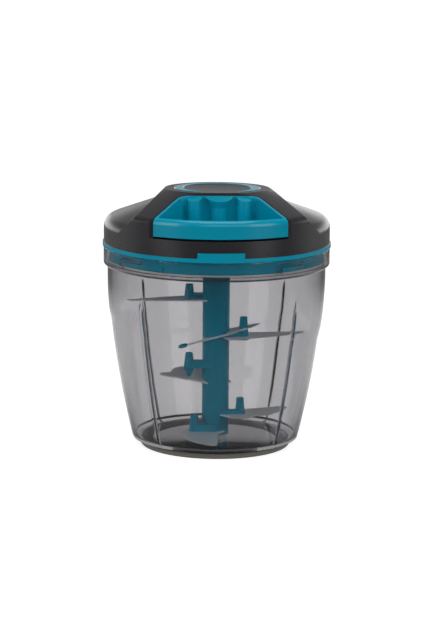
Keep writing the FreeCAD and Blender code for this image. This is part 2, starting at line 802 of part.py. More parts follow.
def pull_handle(form):
    """Teal handle cut from the lid's form: a finger recess with two pillars, fine ribs and a flared boss."""
    block = shared("handle_block", form, handle_prism("handle_plan", "0", "handle_bottom", "crown_height"))
    floor = "handle_bottom + handle_floor"
    recess_plan = handle_prism("recess_plan", "0 - rim_width", floor, "crown_height + 1")
    recess_round = cylinder("recess_round", "lid_radius - front_wall", floor, "crown_height + 1")
    recess = shared("recess", recess_plan, recess_round)
    tray = cut("handle_tray", block, [recess])
    back = "0 - pillar_depth"
    low_form = doc.addObject("Part::Feature", "lowered_form")
    doc.recompute()
    low_form.Shape = form.Shape.translated(Vector(0, 0, -value("pillar_step")))
    flare = doc.addObject("Part::Cone", "boss_flare")
    flare.setExpression("Radius1", linked("middle_radius"))
    flare.setExpression("Radius2", linked("middle_flare"))
    flare.setExpression("Height", linked("flare_height"))
    flare.setExpression("Placement.Base.y", linked(back))
    flare.setExpression("Placement.Base.z", linked("crown_height - pillar_step - flare_height"))
    upright = [flare, cylinder("middle_boss", "middle_radius", "handle_bottom", "crown_height", "0", back)]
    wall_face = "0 - handle_depth - rim_width"
    for name, sign in (("left", "0 - "), ("right", "")):
        upright.append(cylinder(f"pillar_{name}", "pillar_radius", "handle_bottom", "crown_height",
                                f"{sign}pillar_place", back))
        for n in (0, 1):
            upright.append(cylinder(f"grip_rib_{name}_{n}", "grip_rib", "handle_bottom", "crown_height",
                                    f"{sign}(grip_place + grip_step * {n})", wall_face))
    columns = joined("handle_columns", upright)
    kept = handle_prism("column_limit", "0 - rim_width / 2", "handle_bottom", "crown_height")
    columns = shared("handle_columns_low", columns, low_form)
    columns = shared("handle_pillars", columns, kept)
    whole = joined("handle_whole", [tray, columns])
    plate = back_plate("plate_seat", "small_gap")
    knot_room = round_along_y("knot_room", "cord_radius * 2.6", f"0 - ({back}) + 3.5", f"0 - ({back}) - 2")
    tools = [plate, knot_room]
    for side in ("0 - pillar_place", "pillar_place"):
        name = "left" if side.startswith("0") else "right"
        tools.append(round_along_y(f"plate_pilot_{name}", "1.0", f"0 - ({back}) + 3", "handle_depth - 1", side))
    return cut("pull_handle", whole, tools)


def round_along_y(label, radius, far, near, x="0"):
    """A round bar along Y at the cord's height, between two distances in front of the axis."""
    piece = doc.addObject("Part::Cylinder", label)
    piece.Placement = Placement(Vector(0, 0, 0), Rotation(Vector(1, 0, 0), 90))
    piece.setExpression("Radius", linked(radius))
    piece.setExpression("Height", linked(f"({far}) - ({near})"))
    piece.setExpression("Placement.Base.x", linked(x))
    piece.setExpression("Placement.Base.y", linked(f"0 - ({near})"))
    piece.setExpression("Placement.Base.z", linked("cord_height"))
    return piece


def back_plate(label, spare):
    """Flat plate let into the back of the handle."""
    plate = doc.addObject("Part::Box", label)
    plate.setExpression("Length", linked(f"plate_width + 2 * {spare}"))
    plate.setExpression("Width", linked("back_thickness"))
    plate.setExpression("Height", linked(f"plate_rise + 2 * {spare}"))
    plate.setExpression("Placement.Base.x", linked(f"0 - plate_width / 2 - {spare}"))
    plate.setExpression("Placement.Base.y", linked("0 - handle_depth - back_thickness"))
    plate.setExpression("Placement.Base.z", linked(f"cord_height - plate_rise / 2 - {spare}"))
    return plate


def handle_back():
    """Plate that holds the cord's knot in the handle."""
    holes = [round_along_y("cord_hole", "cord_radius + running_gap", "handle_depth + 3", "handle_depth - 1")]
    for side in ("0 - pillar_place", "pillar_place"):
        name = "left" if side.startswith("0") else "right"
        holes.append(round_along_y(f"plate_hole_{name}", "1.1", "handle_depth + 3", "handle_depth - 1", side))
    return cut("handle_back", back_plate("plate_blank", "0"), holes)


def handle_screws():
    """Two small screws with flat heads let into the plate, one group."""
    screws = []
    for side in ("0 - pillar_place", "pillar_place"):
        name = "left" if side.startswith("0") else "right"
        screws.append(round_along_y(f"plate_screw_{name}", "0.95", "handle_depth + 5.5", "handle_depth + 0.1", side))
    group = doc.addObject("Part::Compound", "handle_screws")
    group.Links = screws
    group.Label = "handle_screws"
    return group


def cord_end():
    """Last stretch of the cord and its knot inside the handle's middle boss."""
    knot = doc.addObject("Part::Sphere", "knot")
    knot.setExpression("Radius", linked("cord_radius * 2.2"))
    knot.setExpression("Placement.Base.y", linked("0 - handle_depth - back_thickness - cord_radius * 2.2"))
    knot.setExpression("Placement.Base.z", linked("cord_height"))
    tail = round_along_y("cord_tail", "cord_radius", "handle_depth + back_thickness + cord_radius", "handle_depth")
    return joined("cord_end", [knot, tail])


def cord_reel():
    """Reel: a drum between two flanges, open above for the spring, with a clutch hub and pawl pins below."""
    low = "cord_height - drum_height / 2 - flange_thickness"
    high = "cord_height + drum_height / 2 + flange_thickness"
    bore = "axle_radius + running_gap"
    hub_bottom = f"{low} - pawl_height - seat_gap * 3"
    drum_inner = "drum_radius - drum_wall"
    body = revolved("reel_turned", [
        (bore, hub_bottom),
        ("clutch_hub", hub_bottom),
        ("clutch_hub", low),
        ("reel_radius", low),
        ("reel_radius", f"{low} + flange_thickness"),
        ("drum_radius", f"{low} + flange_thickness"),
        ("drum_radius", f"{high} - flange_thickness"),
        ("reel_radius", f"{high} - flange_thickness"),
        ("reel_radius", high),
        (drum_inner, high),
        (drum_inner, f"{low} + flange_thickness"),
        (bore, f"{low} + flange_thickness"),
    ])
    pins = [cylinder(f"pawl_pin_{name}", "pawl_pin - running_gap", f"{low} - pawl_height - seat_gap", f"{low} + 0.5", x)
            for name, x in (("left", "0 - pawl_radius"), ("right", "pawl_radius"))]
    return joined("cord_reel", [body] + pins)


def cord_winding():
    """Cord wound on the drum, as one ring that bulges a little between the flanges."""
    low = "cord_height - drum_height / 2 + small_gap"
    high = "cord_height + drum_height / 2 - small_gap"
    outer = "drum_radius + wound_depth - cord_radius / 2"
    return revolved("cord_winding", [
        ("drum_radius + small_gap", low),
        (outer, low),
        (outer, high),
        ("drum_radius + small_gap", high),
    ], {1: ("drum_height * 2", 1)})


def spring_cover():
    """Disc that keeps the spring in the drum."""
    top = "cord_height + drum_height / 2 + flange_thickness"
    return revolved("spring_cover", [
        ("arbor_radius + seat_gap", f"{top} - cover_thickness"),
        ("drum_radius - drum_wall", f"{top} - cover_thickness"),
        ("drum_radius - drum_wall", top),
        ("arbor_radius + seat_gap", top),
    ])


def return_spring():
    """Flat spiral spring: half turns about two centres, each half a pitch wider than the last."""
    pitch = value("spring_pitch")
    half = value("spring_thickness") / 2
    start = value("arbor_radius") + half
    low = value("cord_height") - value("drum_height") / 2 + value("small_gap")
    high = value("cord_height") + value("drum_height") / 2 + value("flange_thickness - cover_thickness - small_gap")

    def edge_line(offset):
        edges = []
        for n in range(2 * int(value("spring_turns"))):
            side = 1 if n % 2 == 0 else -1
            radius = start + pitch / 4 + n * pitch / 2 + offset
            centre_x = -side * pitch / 4
            first = Vector(centre_x + side * radius, 0, low)
            middle = Vector(centre_x, side * radius, low)
            last = Vector(centre_x - side * radius, 0, low)
            edges.append(Part.Arc(first, middle, last).toShape())
        return edges

    inner = edge_line(-half)
    outer = edge_line(half)
    caps = []
    for end in (0, -1):
        vertex = 0 if end == 0 else -1
        caps.append(Part.makeLine(inner[end].Vertexes[vertex].Point, outer[end].Vertexes[vertex].Point))
    wire = Part.Wire(Part.__sortEdges__(inner + outer + caps))
    return solid_part("return_spring", Part.Face(wire).extrude(Vector(0, 0, high - low)))


def reel_axle():
    return cylinder("reel_axle", "axle_radius", "axle_bottom", "axle_top")


def drive_bush():
    """Plain bush with a flange, in the lid base's hub."""
    inner = "journal_radius + running_gap"
    outer = f"{inner} + bush_wall"
    return revolved("drive_bush", [
        (inner, "plate_top - hub_height"),
        (outer, "plate_top - hub_height"),
        (outer, "plate_top"),
        (f"{outer} + bush_wall", "plate_top"),
        (f"{outer} + bush_wall", "plate_top + bush_wall"),
        (inner, "plate_top + bush_wall"),
    ])


def drive_cup():
    """Cup with inner ratchet teeth above, a round journal and a two-winged drive plug below."""
    bore = "axle_radius + running_gap"
    journal_bottom = "plate_top - hub_height + seat_gap"
    body = revolved("cup_turned", [
        ("0", journal_bottom),
        ("journal_radius", journal_bottom),
        ("journal_radius", "cup_bottom"),
        ("cup_radius", "cup_bottom"),
        ("cup_radius", "cup_bottom + cup_height"),
        ("cup_radius - cup_wall", "cup_bottom + cup_height"),
        ("cup_radius - cup_wall", "cup_bottom + cup_floor"),
        (bore, "cup_bottom + cup_floor"),
        (bore, "axle_bottom - seat_gap"),
        ("0", "axle_bottom - seat_gap"),
    ])
    plug = winged("drive_plug", "plug_core", "plug_radius", "plug_wing", "plug_bottom", f"{journal_bottom} + 0.5")
    teeth = []
    step = 360.0 / value("tooth_count")
    root = "cup_radius - cup_wall + 0.4"
    tip = "cup_radius - cup_wall - tooth_depth"
    for n in range(int(value("tooth_count"))):
        face = n * step - value("pawl_swing + pawl_play")
        tooth = padded(f"tooth_{n}", [
            (f"({tip}) * cos({face})", f"({tip}) * sin({face})"),
            (f"({root}) * cos({face})", f"({root}) * sin({face})"),
            (f"({root}) * cos({face - step * 0.3})", f"({root}) * sin({face - step * 0.3})"),
            (f"({root}) * cos({face - step * 0.62})", f"({root}) * sin({face - step * 0.62})"),
        ], "cup_bottom + cup_floor - 0.5", "cup_bottom + cup_height")
        teeth.append(tooth)
    return joined("drive_cup", [body] + plug + teeth)


def winged(label, core, outer, half_angle, bottom, top):
    """A round core with two wings, each spanning the half angle to either side of the Y axis."""
    pieces = [cylinder(f"{label}_core", core, bottom, top)]
    for name, turn in (("front", "0"), ("back", "180")):
        pieces.append(sector(f"{label}_{name}", f"({core}) / 2", outer, bottom, top,
                             f"{turn} - ({half_angle})", f"{turn} + ({half_angle})"))
    return pieces


def pawl(label, side):
    """Clutch pawl: a round eye on its pin and an arm that reaches back into a ratchet tooth."""
    low = "cord_height - drum_height / 2 - flange_thickness - pawl_height - seat_gap"
    tip_radius = value("cup_radius - cup_wall - seat_gap")
    pivot = Vector(value("pawl_radius"), 0, 0)
    swing = math.radians(-value("pawl_swing"))
    tip = Vector(tip_radius * math.cos(swing), tip_radius * math.sin(swing), 0)
    along = (tip - pivot).normalize()
    across = Vector(-along.y, along.x, 0)
    half = value("pawl_width") / 2
    back = tip - tip * (value("pawl_width") / tip_radius)
    points = [pivot + across * half, tip, back, pivot - across * half]
    arm = Part.Face(Part.makePolygon(points + points[:1]))
    height = Vector(0, 0, value("pawl_height"))
    eye = Part.makeCylinder(value("pawl_pin") + 1.0, height.z, pivot)
    shape = arm.extrude(height).fuse(eye).removeSplitter()
    shape = shape.cut(Part.makeCylinder(value("pawl_pin"), height.z, pivot))
    shape.translate(Vector(0, 0, value(low)))
    if side < 0:
        shape.rotate(Vector(0, 0, 0), Vector(0, 0, 1), 180)
    return solid_part(label, shape)


def cord_run():
    """Cord from the winding to the eyelet: a straight run, a bend in the eyelet and a straight end."""
    height = value("cord_height")
    thick = value("cord_radius")
    wound = value("drum_radius + wound_depth + cord_radius + seat_gap")
    gate = value("handle_depth - handle_gap - pocket_wall - lip_width - cord_radius * 1.2")
    angle = math.acos(wound / gate)
    start = Vector(wound * math.sin(angle), -wound * math.cos(angle), height)
    corner = Vector(0, -gate, height)
    end = Vector(0, -value("handle_depth - seat_gap"), height)
    incoming = (corner - start).normalize()
    outgoing = (end - corner).normalize()
    turn = incoming.getAngle(outgoing)
    bend = thick * 1.6
    length = bend * math.tan(turn / 2)
    first = corner - incoming * length
    last = corner + outgoing * length
    inward = (outgoing - incoming).normalize()
    middle = corner + inward * (bend / math.cos(turn / 2) - bend)
    path = Part.Wire([
        Part.makeLine(start, first),
        Part.Arc(first, middle, last).toShape(),
        Part.makeLine(last, end),
    ])
    section = Part.Wire(Part.makeCircle(thick, start, incoming))
    return solid_part("cord_run", path.makePipeShell([section], True, False))


# Each blade: outline, height where it crosses the axis, direction from +X, rise to the tip and bank in degrees
blades = {
    "blade_top": ("long", 88.9, 180.0, 0.0, 0.0),
    "blade_front": ("tailed", 67.1, 0.0, -15.5, 0.0),
    "blade_upper": ("rooted", 66.4, 0.0, -1.5, 0.0),
    "blade_rear": ("leaf", 39.4, 180.0, -5.0, -17.0),
    "blade_lower": ("waved", 18.6, 17.0, 0.0, 0.0),
    "blade_bottom": ("broad", 8.0, 268.0, 0.0, 0.0),
}

# Corners of each outline from the heel round the cutting edge to the tip and back, and the edges that are arcs
blade_outlines = {
    "long": ([("-7.4", "1"), ("-2", "-13"), ("8", "-15.2"), ("long_blade", "2.2"), ("long_blade - 1.2", "4.6"),
              ("12", "5.6"), ("4", "6.2"), ("-5", "5.2")], {1: (24.0, 1), 2: (230.0, 1)}),
    "rooted": ([("4", "-6.6"), ("7.5", "-15.2"), ("long_blade", "2.2"), ("long_blade - 1.2", "4.6"),
                ("12", "6.2"), ("4", "6.6")], {1: (230.0, 1)}),
    "broad": ([("-7.2", "1"), ("0", "-7.6"), ("4", "-18.4"), ("7", "-20"), ("broad_blade", "-1.2"),
               ("broad_blade - 1.4", "1"), ("14", "1.5"), ("2", "7.5")], {3: (36.0, 1)}),
    "waved": ([("-7.2", "1"), ("0", "-7.6"), ("5", "-18.8"), ("16", "-20.4"), ("23.4", "-15.6"), ("30", "-16.2"),
               ("35.5", "-11.6"), ("lower_blade", "-1.2"), ("lower_blade - 1.4", "1.6"), ("14", "1.5"),
               ("2", "7.5")], {2: (14.0, 1), 3: (9.0, -1), 4: (7.0, 1), 5: (12.0, -1), 6: (30.0, 1)}),
    "tailed": ([("-20.6", "-8.2"), ("-9", "-9.6"), ("6", "-11.2"), ("tailed_blade", "-4"),
                ("tailed_blade - 1.2", "-2"), ("12", "3.5"), ("2", "7.5"), ("-7", "3"), ("-9.4", "-8"),
                ("-20.6", "-6.8")], {2: (60.0, 1)}),
    "leaf": ([("-9.6", "2"), ("-2", "-12"), ("10", "-14.5"), ("24", "-11"), ("27.5", "-3.5"), ("leaf_blade", "-1"),
              ("leaf_blade - 1", "1"), ("12", "5"), ("1", "7.7")], {2: (26.0, 1), 3: (9.0, 1)}),
}

# Each holder: direction of the arm, reach and side offset of its post, arm's underside, post's foot and top
holders = {
    "top": (180.0, 16.3, -3.5, 88.0, 87.6, 98.3),
    "upper": (0.0, 16.6, -5.0, 65.4, 65.0, 79.4),
    "rear": (180.0, 16.4, 5.0, 48.0, 42.6, 57.3),
    "lower": (0.0, 14.9, -5.0, 17.2, 16.0, 29.3),
    "bottom": (180.0, 13.0, 7.0, 9.0, 7.0, 19.4),
}


def blade(label, kind, height, direction, rise, bank):
    """Blade from its outline, turned into its place, with a hole for the shaft's core unless it is only rooted."""
    body = new_body(label + "_blank")
    corners, arcs = blade_outlines[kind]
    sketch = outline(body, label + "_plan", "XY_Plane", corners, arcs)
    pad = body.newObject("PartDesign::Pad", label + "_pad")
    pad.Profile = sketch
    pad.setExpression("Length", linked("blade_thickness"))
    turn = Rotation(Vector(0, 0, 1), direction) * Rotation(Vector(0, 1, 0), rise) * Rotation(Vector(1, 0, 0), bank)
    body.Placement = Placement(Vector(0, 0, height), turn)
    if kind == "rooted":
        return body
    doc.recompute()
    hole = body.newObject("Sketcher::SketchObject", label + "_hole")
    hole.AttachmentSupport = [(plane_of(body, "XY_Plane"), "")]
    hole.MapMode = "FlatFace"
    hole.addGeometry(Part.Circle(Vector(0, 0, 0), Vector(0, 0, 1), value("core_radius")))
    hole.addConstraint(Sketcher.Constraint("Coincident", 0, 3, -1, 1))
    k = hole.addConstraint(Sketcher.Constraint("Radius", 0, value("core_radius")))
    hole.setExpression(f"Constraints[{k}]", linked("core_radius"))
    pocket = body.newObject("PartDesign::Pocket", label + "_bore")
    pocket.Profile = hole
    pocket.Type = "ThroughAll"
    pocket.Midplane = True
    return body


def holder(name, direction, reach, side, low, foot, top):
    """One arm beside the shaft's middle line, with its tapered post."""
    turn = Rotation(Vector(0, 0, 1), direction)
    arm = doc.addObject("Part::Box", f"arm_{name}")
    arm.Length = reach
    arm.setExpression("Width", linked("arm_width"))
    arm.setExpression("Height", linked("arm_height"))
    corner = Vector(0, side - value("arm_width") / 2, 0)
    arm.Placement = Placement(turn.multVec(corner) + Vector(0, 0, low), turn)
    post = doc.addObject("Part::Cone", f"post_{name}")
    post.setExpression("Radius1", linked("post_root"))
    post.setExpression("Radius2", linked("post_tip"))
    post.Height = top - low
    place = turn.multVec(Vector(reach, side, 0))
    post.Placement = Placement(place + Vector(0, 0, low), Rotation())
    stub = doc.addObject("Part::Cone", f"stub_{name}")
    stub.setExpression("Radius1", linked("post_tip / 2"))
    stub.setExpression("Radius2", linked("post_root"))
    stub.Height = low - foot
    stub.Placement = Placement(place + Vector(0, 0, foot), Rotation())
    return arm, joined(f"peg_{name}", [post, stub])


def blade_unit():
    """Blades with a hole for each post that crosses them, and the teal shaft moulded round them."""
    arms, pegs = [], []
    for name, numbers in holders.items():
        arm, peg = holder(name, *numbers)
        arms.append(arm)
        pegs.append(peg)
    all_pegs = joined("all_pegs", pegs)
    steel = [cut(label, blade(label, *numbers), [all_pegs]) for label, numbers in blades.items()]
    column = cylinder("column", "shaft_radius", "shaft_bottom", "shaft_top")
    whole = joined("shaft_whole", [column] + arms + pegs)
    socket = winged("drive_socket", "plug_core + small_gap * 2", "plug_radius + small_gap * 2",
                    "plug_wing + twist_angle + 2", "plug_bottom - 1", "shaft_top + 1")
    bore = cylinder("pin_bore", "pin_radius + running_gap", "shaft_bottom - 1", f"{floor_top} + pin_length + seat_gap")
    tail = doc.getObject("blade_front_blank")
    cap = doc.addObject("Part::Ellipsoid", "cap_leaf")
    cap.Radius1 = 1.3
    cap.Radius2 = 3.2
    cap.Radius3 = 2.0
    cap.Placement = tail.Placement * Placement(Vector(-20.8, -7.5, value("blade_thickness") / 2), Rotation())
    cap = cut("blade_cap", cap, [tail])
    return [cut("blade_shaft", whole, socket + [bore] + steel)] + steel + [cap]


def crescent_inlay():
    return inlay_shape("crescent_inlay", "inlay_proud", "inlay_sink")


def build():
    parts = [bowl(), base_ring(), pivot_pin()]
    parts.append(lid_base())
    parts.append(revolved("lid_seal", seal_corners("0")))
    parts.append(housing_screws())
    form = dome_and_bridge()
    parts += [top_cover(form), crescent_inlay(), eyelet_shape("cord_eyelet")]
    parts += [pull_handle(form), handle_back(), handle_screws(), cord_end()]
    parts += [cord_reel(), cord_winding(), spring_cover(), return_spring(), reel_axle(), drive_bush(), drive_cup()]
    parts += [pawl("pawl_left", -1), pawl("pawl_right", 1), cord_run()]
    parts += blade_unit()
    return parts


def check_and_write(parts):
    doc.recompute()
    for item in doc.Objects:
        if "Invalid" in item.State or "Error" in item.State:
            raise RuntimeError(f"{item.Name} did not build: {item.State}")
    os.makedirs("parts", exist_ok=True)
    for part in parts:
        shape = part.Shape
        if shape.isNull() or not shape.isValid() or not shape.Solids:
            raise RuntimeError(f"{part.Label} has no valid solid")
        print(f"{part.Label}: {len(shape.Solids)} solid, {shape.Volume / 1000:.2f} ml")
    for part in parts:
        part.Shape.exportStep(f"parts/{part.Label}.step")


check_and_write(build())
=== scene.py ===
import json
import math

import bmesh
import bpy
import numpy as np
from mathutils import Matrix, Vector
from mathutils.geometry import tessellate_polygon

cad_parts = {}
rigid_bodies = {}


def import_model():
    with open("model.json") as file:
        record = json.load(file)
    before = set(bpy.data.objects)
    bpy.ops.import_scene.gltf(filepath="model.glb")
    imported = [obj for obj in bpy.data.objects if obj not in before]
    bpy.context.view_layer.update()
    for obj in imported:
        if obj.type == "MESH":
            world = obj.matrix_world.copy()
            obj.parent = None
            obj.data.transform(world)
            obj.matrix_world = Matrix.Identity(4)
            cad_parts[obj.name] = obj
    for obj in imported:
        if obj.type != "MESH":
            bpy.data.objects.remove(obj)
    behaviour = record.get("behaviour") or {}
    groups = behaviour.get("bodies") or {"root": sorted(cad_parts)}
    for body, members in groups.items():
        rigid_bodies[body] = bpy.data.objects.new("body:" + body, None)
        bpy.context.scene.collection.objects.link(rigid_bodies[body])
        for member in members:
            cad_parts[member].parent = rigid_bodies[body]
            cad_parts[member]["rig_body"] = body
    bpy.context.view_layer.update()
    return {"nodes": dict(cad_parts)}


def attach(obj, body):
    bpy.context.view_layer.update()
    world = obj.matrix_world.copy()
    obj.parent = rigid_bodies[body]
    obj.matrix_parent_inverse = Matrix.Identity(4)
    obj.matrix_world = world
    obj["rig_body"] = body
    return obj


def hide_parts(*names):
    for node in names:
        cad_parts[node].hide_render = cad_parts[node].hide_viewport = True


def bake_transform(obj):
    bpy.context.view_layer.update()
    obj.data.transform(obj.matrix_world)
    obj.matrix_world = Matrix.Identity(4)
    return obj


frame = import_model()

nodes = frame["nodes"]
mm = 0.001    # the pieces' sizes are in millimetres, camera and studio in metres


# Camera and studio

photo = {
    "distance": 1.620,              # from the chopper's axis, level
    "height": 0.385,                # above the worktop
    "sensor": 36.0,                 # mm, along the photograph's long side
    "lens": 154.2,                  # mm
    "clip": (0.05, 30.0),
    "aimHeight": 0.07905,
    "aimLeft": 0.0034,              # the axis stands this far right of the middle
    "turn": math.radians(-2.3),     # round to the left of the front
    "roll": math.radians(0.5),
}
studio = {
    "frontStrength": 0.10,          # the room behind the camera
    "backStrength": 0.43,           # the wall straight behind the chopper
    "sideStrength": 2.2,            # the same wall to the left and right, under its own lamps
    "sideStart": (0.05, 0.16),      # where the middle of the wall turns into its sides, as the direction's x
    "turnover": (-0.22, 0.27),      # where the room turns from dark to bright behind, as the direction's y
    "wallTop": (0.15, 0.30),        # where the wall fades into the ceiling, as the direction's z
    "ceilingShare": 0.15,           # what is left of the wall's light above it
    "floorSize": 3.0,
    "floorColors": ("#5C5C5C", "#A6A6A6"),    # in front, darker as painted shade, and the floor's own colour at the chopper
    "floorShade": (-0.30, -0.06),   # where the painted shade in front turns into the floor's own colour, as a place along y
    "floorGlow": 0.9,               # added where the floor is seen by itself or through the clear wall
    "floorPaintedShadow": (0.036, 0.05),    # painted shadow under the chopper: within the first radius the glow is weaker, outside the second whole
    "paintedShadowShare": 0.8,              # what is left of the glow in the painted shadow
    "floorShine": (0.03, 0.62),     # added where the floor is seen in a gloss, in front and behind
    "floorTurn": (-0.05, 0.15),     # where the one shine turns into the other, as a place along y
    "floorFar": (0.3, 0.62),        # where the shine behind fades out, as the distance from the axis
    "lamps": [
        # name, place, aim, size, power in watts
        ("leftSoftbox", (-1.2, -0.9, 0.52), (0, 0, 0.08), (0.7, 1.0), 8.5),
        ("rightSoftbox", (1.05, -1.1, 0.52), (0, 0, 0.08), (0.7, 1.0), 8.5),
        ("frontSoftbox", (0.1, -1.55, 0.8), (0, 0, 0.1), (1.1, 0.7), 4.5),
        ("topSoftbox", (0.0, -0.25, 1.4), (0, 0, 0.1), (1.0, 0.8), 9.0),
    ],
}


# sRGB hex to linear RGBA
def linear(hexColor):
    parts = np.array([int(hexColor[k:k + 2], 16) / 255 for k in (1, 3, 5)])
    parts = np.where(parts <= 0.04045, parts / 12.92, ((parts + 0.055) / 1.055) ** 2.4)
    return (*parts.tolist(), 1.0)


# Adds a node: settings are its properties, inputs are values for its sockets or the sockets that feed them.
# A Mix node's sockets go by number: 0 is the factor, 6 and 7 are the colours, and output 2 is their mix
def addNode(material, kind, inputs=None, **settings):
    node = material.node_tree.nodes.new(kind)
    for name, setting in settings.items():
        setattr(node, name, setting)
    for name, source in (inputs or {}).items():
        if isinstance(source, bpy.types.NodeSocket):
            material.node_tree.links.new(source, node.inputs[name])
        else:
            node.inputs[name].default_value = source
    return node


# Stands at the photograph's angle and looks at a point beside the chopper's axis
def makeCamera():
    data = bpy.data.cameras.new("photoCamera")
    camera = bpy.data.objects.new("photoCamera", data)
    bpy.context.scene.collection.objects.link(camera)
    data.sensor_width, data.lens = photo["sensor"], photo["lens"]
    data.clip_start, data.clip_end = photo["clip"]
    turn = photo["turn"]
    right = Vector((math.cos(turn), math.sin(turn), 0))
    camera.location = Vector((math.sin(turn), -math.cos(turn), 0)) * photo["distance"]
    camera.location.z = photo["height"]
    aim = Vector((0, 0, photo["aimHeight"])) - right * photo["aimLeft"]
    look = (aim - camera.location).to_track_quat("-Z", "Y").to_euler()
    look.rotate_axis("Z", photo["roll"])
    camera.rotation_euler = look
    bpy.context.scene.camera = camera


# 1 for what the camera sees by itself or straight through the clear wall, 0 for light that has lit something
def seenStraight(material, path):
    bounced = addNode(material, "ShaderNodeMath", {0: path.outputs["Diffuse Depth"],
                      1: path.outputs["Glossy Depth"]}, operation="ADD")
    clear = addNode(material, "ShaderNodeMath", {0: path.outputs["Is Transmission Ray"],
                    1: bounced.outputs[0]}, operation="SUBTRACT", use_clamp=True)
    seen = addNode(material, "ShaderNodeMath", {0: path.outputs["Is Camera Ray"], 1: clear.outputs[0]},
                   operation="MAXIMUM")
    return seen.outputs[0]


# A room that is dark behind the camera and bright behind the chopper, and white where the camera sees it
def makeWorld():
    world = bpy.data.worlds.new("studioAir")
    bpy.context.scene.world = world
    world.use_nodes = True
    world.node_tree.nodes.clear()
    seen = seenStraight(world, addNode(world, "ShaderNodeLightPath"))
    place = addNode(world, "ShaderNodeTexCoord").outputs["Generated"]
    way = addNode(world, "ShaderNodeSeparateXYZ", {0: place})
    aside = addNode(world, "ShaderNodeMath", {0: way.outputs["X"]}, operation="ABSOLUTE")
    start, end = studio["sideStart"]
    wall = addNode(world, "ShaderNodeMapRange", {"Value": aside.outputs[0], "From Min": start,
                   "From Max": end, "To Min": studio["backStrength"], "To Max": studio["sideStrength"]},
                   interpolation_type="SMOOTHSTEP")
    start, end = studio["turnover"]
    room = addNode(world, "ShaderNodeMapRange", {"Value": way.outputs["Y"], "From Min": start,
                   "From Max": end, "To Min": studio["frontStrength"], "To Max": wall.outputs[0]},
                   interpolation_type="SMOOTHSTEP")
    start, end = studio["wallTop"]
    high = addNode(world, "ShaderNodeMapRange", {"Value": way.outputs["Z"], "From Min": start,
                   "From Max": end, "To Min": 1.0, "To Max": studio["ceilingShare"]},
                   interpolation_type="SMOOTHSTEP")
    around = addNode(world, "ShaderNodeMath", {0: room.outputs[0], 1: high.outputs[0]}, operation="MULTIPLY")
    strength = addNode(world, "ShaderNodeMapRange", {"Value": seen, "To Min": around.outputs[0],
                       "To Max": 1.0})
    air = addNode(world, "ShaderNodeBackground", {"Color": (1, 1, 1, 1), "Strength": strength.outputs[0]})
    addNode(world, "ShaderNodeOutputWorld", {"Surface": air.outputs[0]})


# Seamless paper, matt: it takes the shadow, and light from behind whitens it where the camera sees it. Its
# colour is darker in front as painted shade, and its glow is weaker under the chopper as a painted shadow
def whitePaper():
    paper = bpy.data.materials.new("whitePaper")
    paper.use_nodes = True
    paper.node_tree.nodes.clear()
    path = addNode(paper, "ShaderNodeLightPath")
    place = addNode(paper, "ShaderNodeTexCoord").outputs["Object"]
    along = addNode(paper, "ShaderNodeSeparateXYZ", {0: place}).outputs["Y"]
    away = addNode(paper, "ShaderNodeVectorMath", {0: place}, operation="LENGTH").outputs["Value"]

    # light seen in a gloss only
    inFront, behind = studio["floorShine"]
    start, end = studio["floorFar"]
    fading = addNode(paper, "ShaderNodeMapRange", {"Value": away, "From Min": start, "From Max": end,
                     "To Min": behind, "To Max": 0.0}, interpolation_type="SMOOTHSTEP")
    start, end = studio["floorTurn"]
    bright = addNode(paper, "ShaderNodeMapRange", {"Value": along, "From Min": start, "From Max": end,
                     "To Min": inFront, "To Max": fading.outputs[0]}, interpolation_type="SMOOTHSTEP")
    mirrored = addNode(paper, "ShaderNodeMath", {0: path.outputs["Glossy Depth"],
                       1: path.outputs["Diffuse Depth"]}, operation="SUBTRACT", use_clamp=True)
    shine = addNode(paper, "ShaderNodeMath", {0: mirrored.outputs[0], 1: bright.outputs[0]},
                    operation="MULTIPLY")

    # light that the camera sees, weaker under the chopper as a painted shadow
    glow = studio["floorGlow"]
    start, end = studio["floorPaintedShadow"]
    around = addNode(paper, "ShaderNodeMapRange", {"Value": away, "From Min": start, "From Max": end,
                     "To Min": studio["paintedShadowShare"] * glow, "To Max": glow})
    strength = addNode(paper, "ShaderNodeMath", {0: seenStraight(paper, path), 1: around.outputs[0],
                       2: shine.outputs[0]}, operation="MULTIPLY_ADD")

    # the floor's colour, darker in front as painted shade
    start, end = studio["floorShade"]
    shade = addNode(paper, "ShaderNodeMapRange", {"Value": along, "From Min": start, "From Max": end},
                    interpolation_type="SMOOTHSTEP")
    inFront, behind = (linear(color) for color in studio["floorColors"])
    color = addNode(paper, "ShaderNodeMix", {0: shade.outputs[0], 6: inFront, 7: behind}, data_type="RGBA")
    matt = addNode(paper, "ShaderNodeBsdfDiffuse", {"Color": color.outputs[2]})
    lit = addNode(paper, "ShaderNodeEmission", {"Color": (1, 1, 1, 1), "Strength": strength.outputs[0]})
    both = addNode(paper, "ShaderNodeAddShader", {0: matt.outputs[0], 1: lit.outputs[0]})
    addNode(paper, "ShaderNodeOutputMaterial", {"Surface": both.outputs[0]})
    return paper


def makeFloor():
    half = studio["floorSize"] / 2
    corners = [(-half, -half, 0), (half, -half, 0), (half, half, 0), (-half, half, 0)]
    mesh = bpy.data.meshes.new("floor")
    mesh.from_pydata(corners, [], [(0, 1, 2, 3)])
    mesh.materials.append(whitePaper())
    floor = bpy.data.objects.new("floor", mesh)
    bpy.context.scene.collection.objects.link(floor)


def makeLamps():
    for name, place, aim, size, power in studio["lamps"]:
        data = bpy.data.lights.new(name, "AREA")
        data.shape = "RECTANGLE"
        data.size, data.size_y = size
        data.energy = power
        lamp = bpy.data.objects.new(name, data)
        bpy.context.scene.collection.objects.link(lamp)
        lamp.location = place
        lamp.rotation_euler = (Vector(aim) - lamp.location).to_track_quat("-Z", "Y").to_euler()


bpy.context.scene.view_settings.view_transform = "Standard"
makeCamera()
makeWorld()
makeFloor()
makeLamps()
print("camera and studio ready")


# Materials

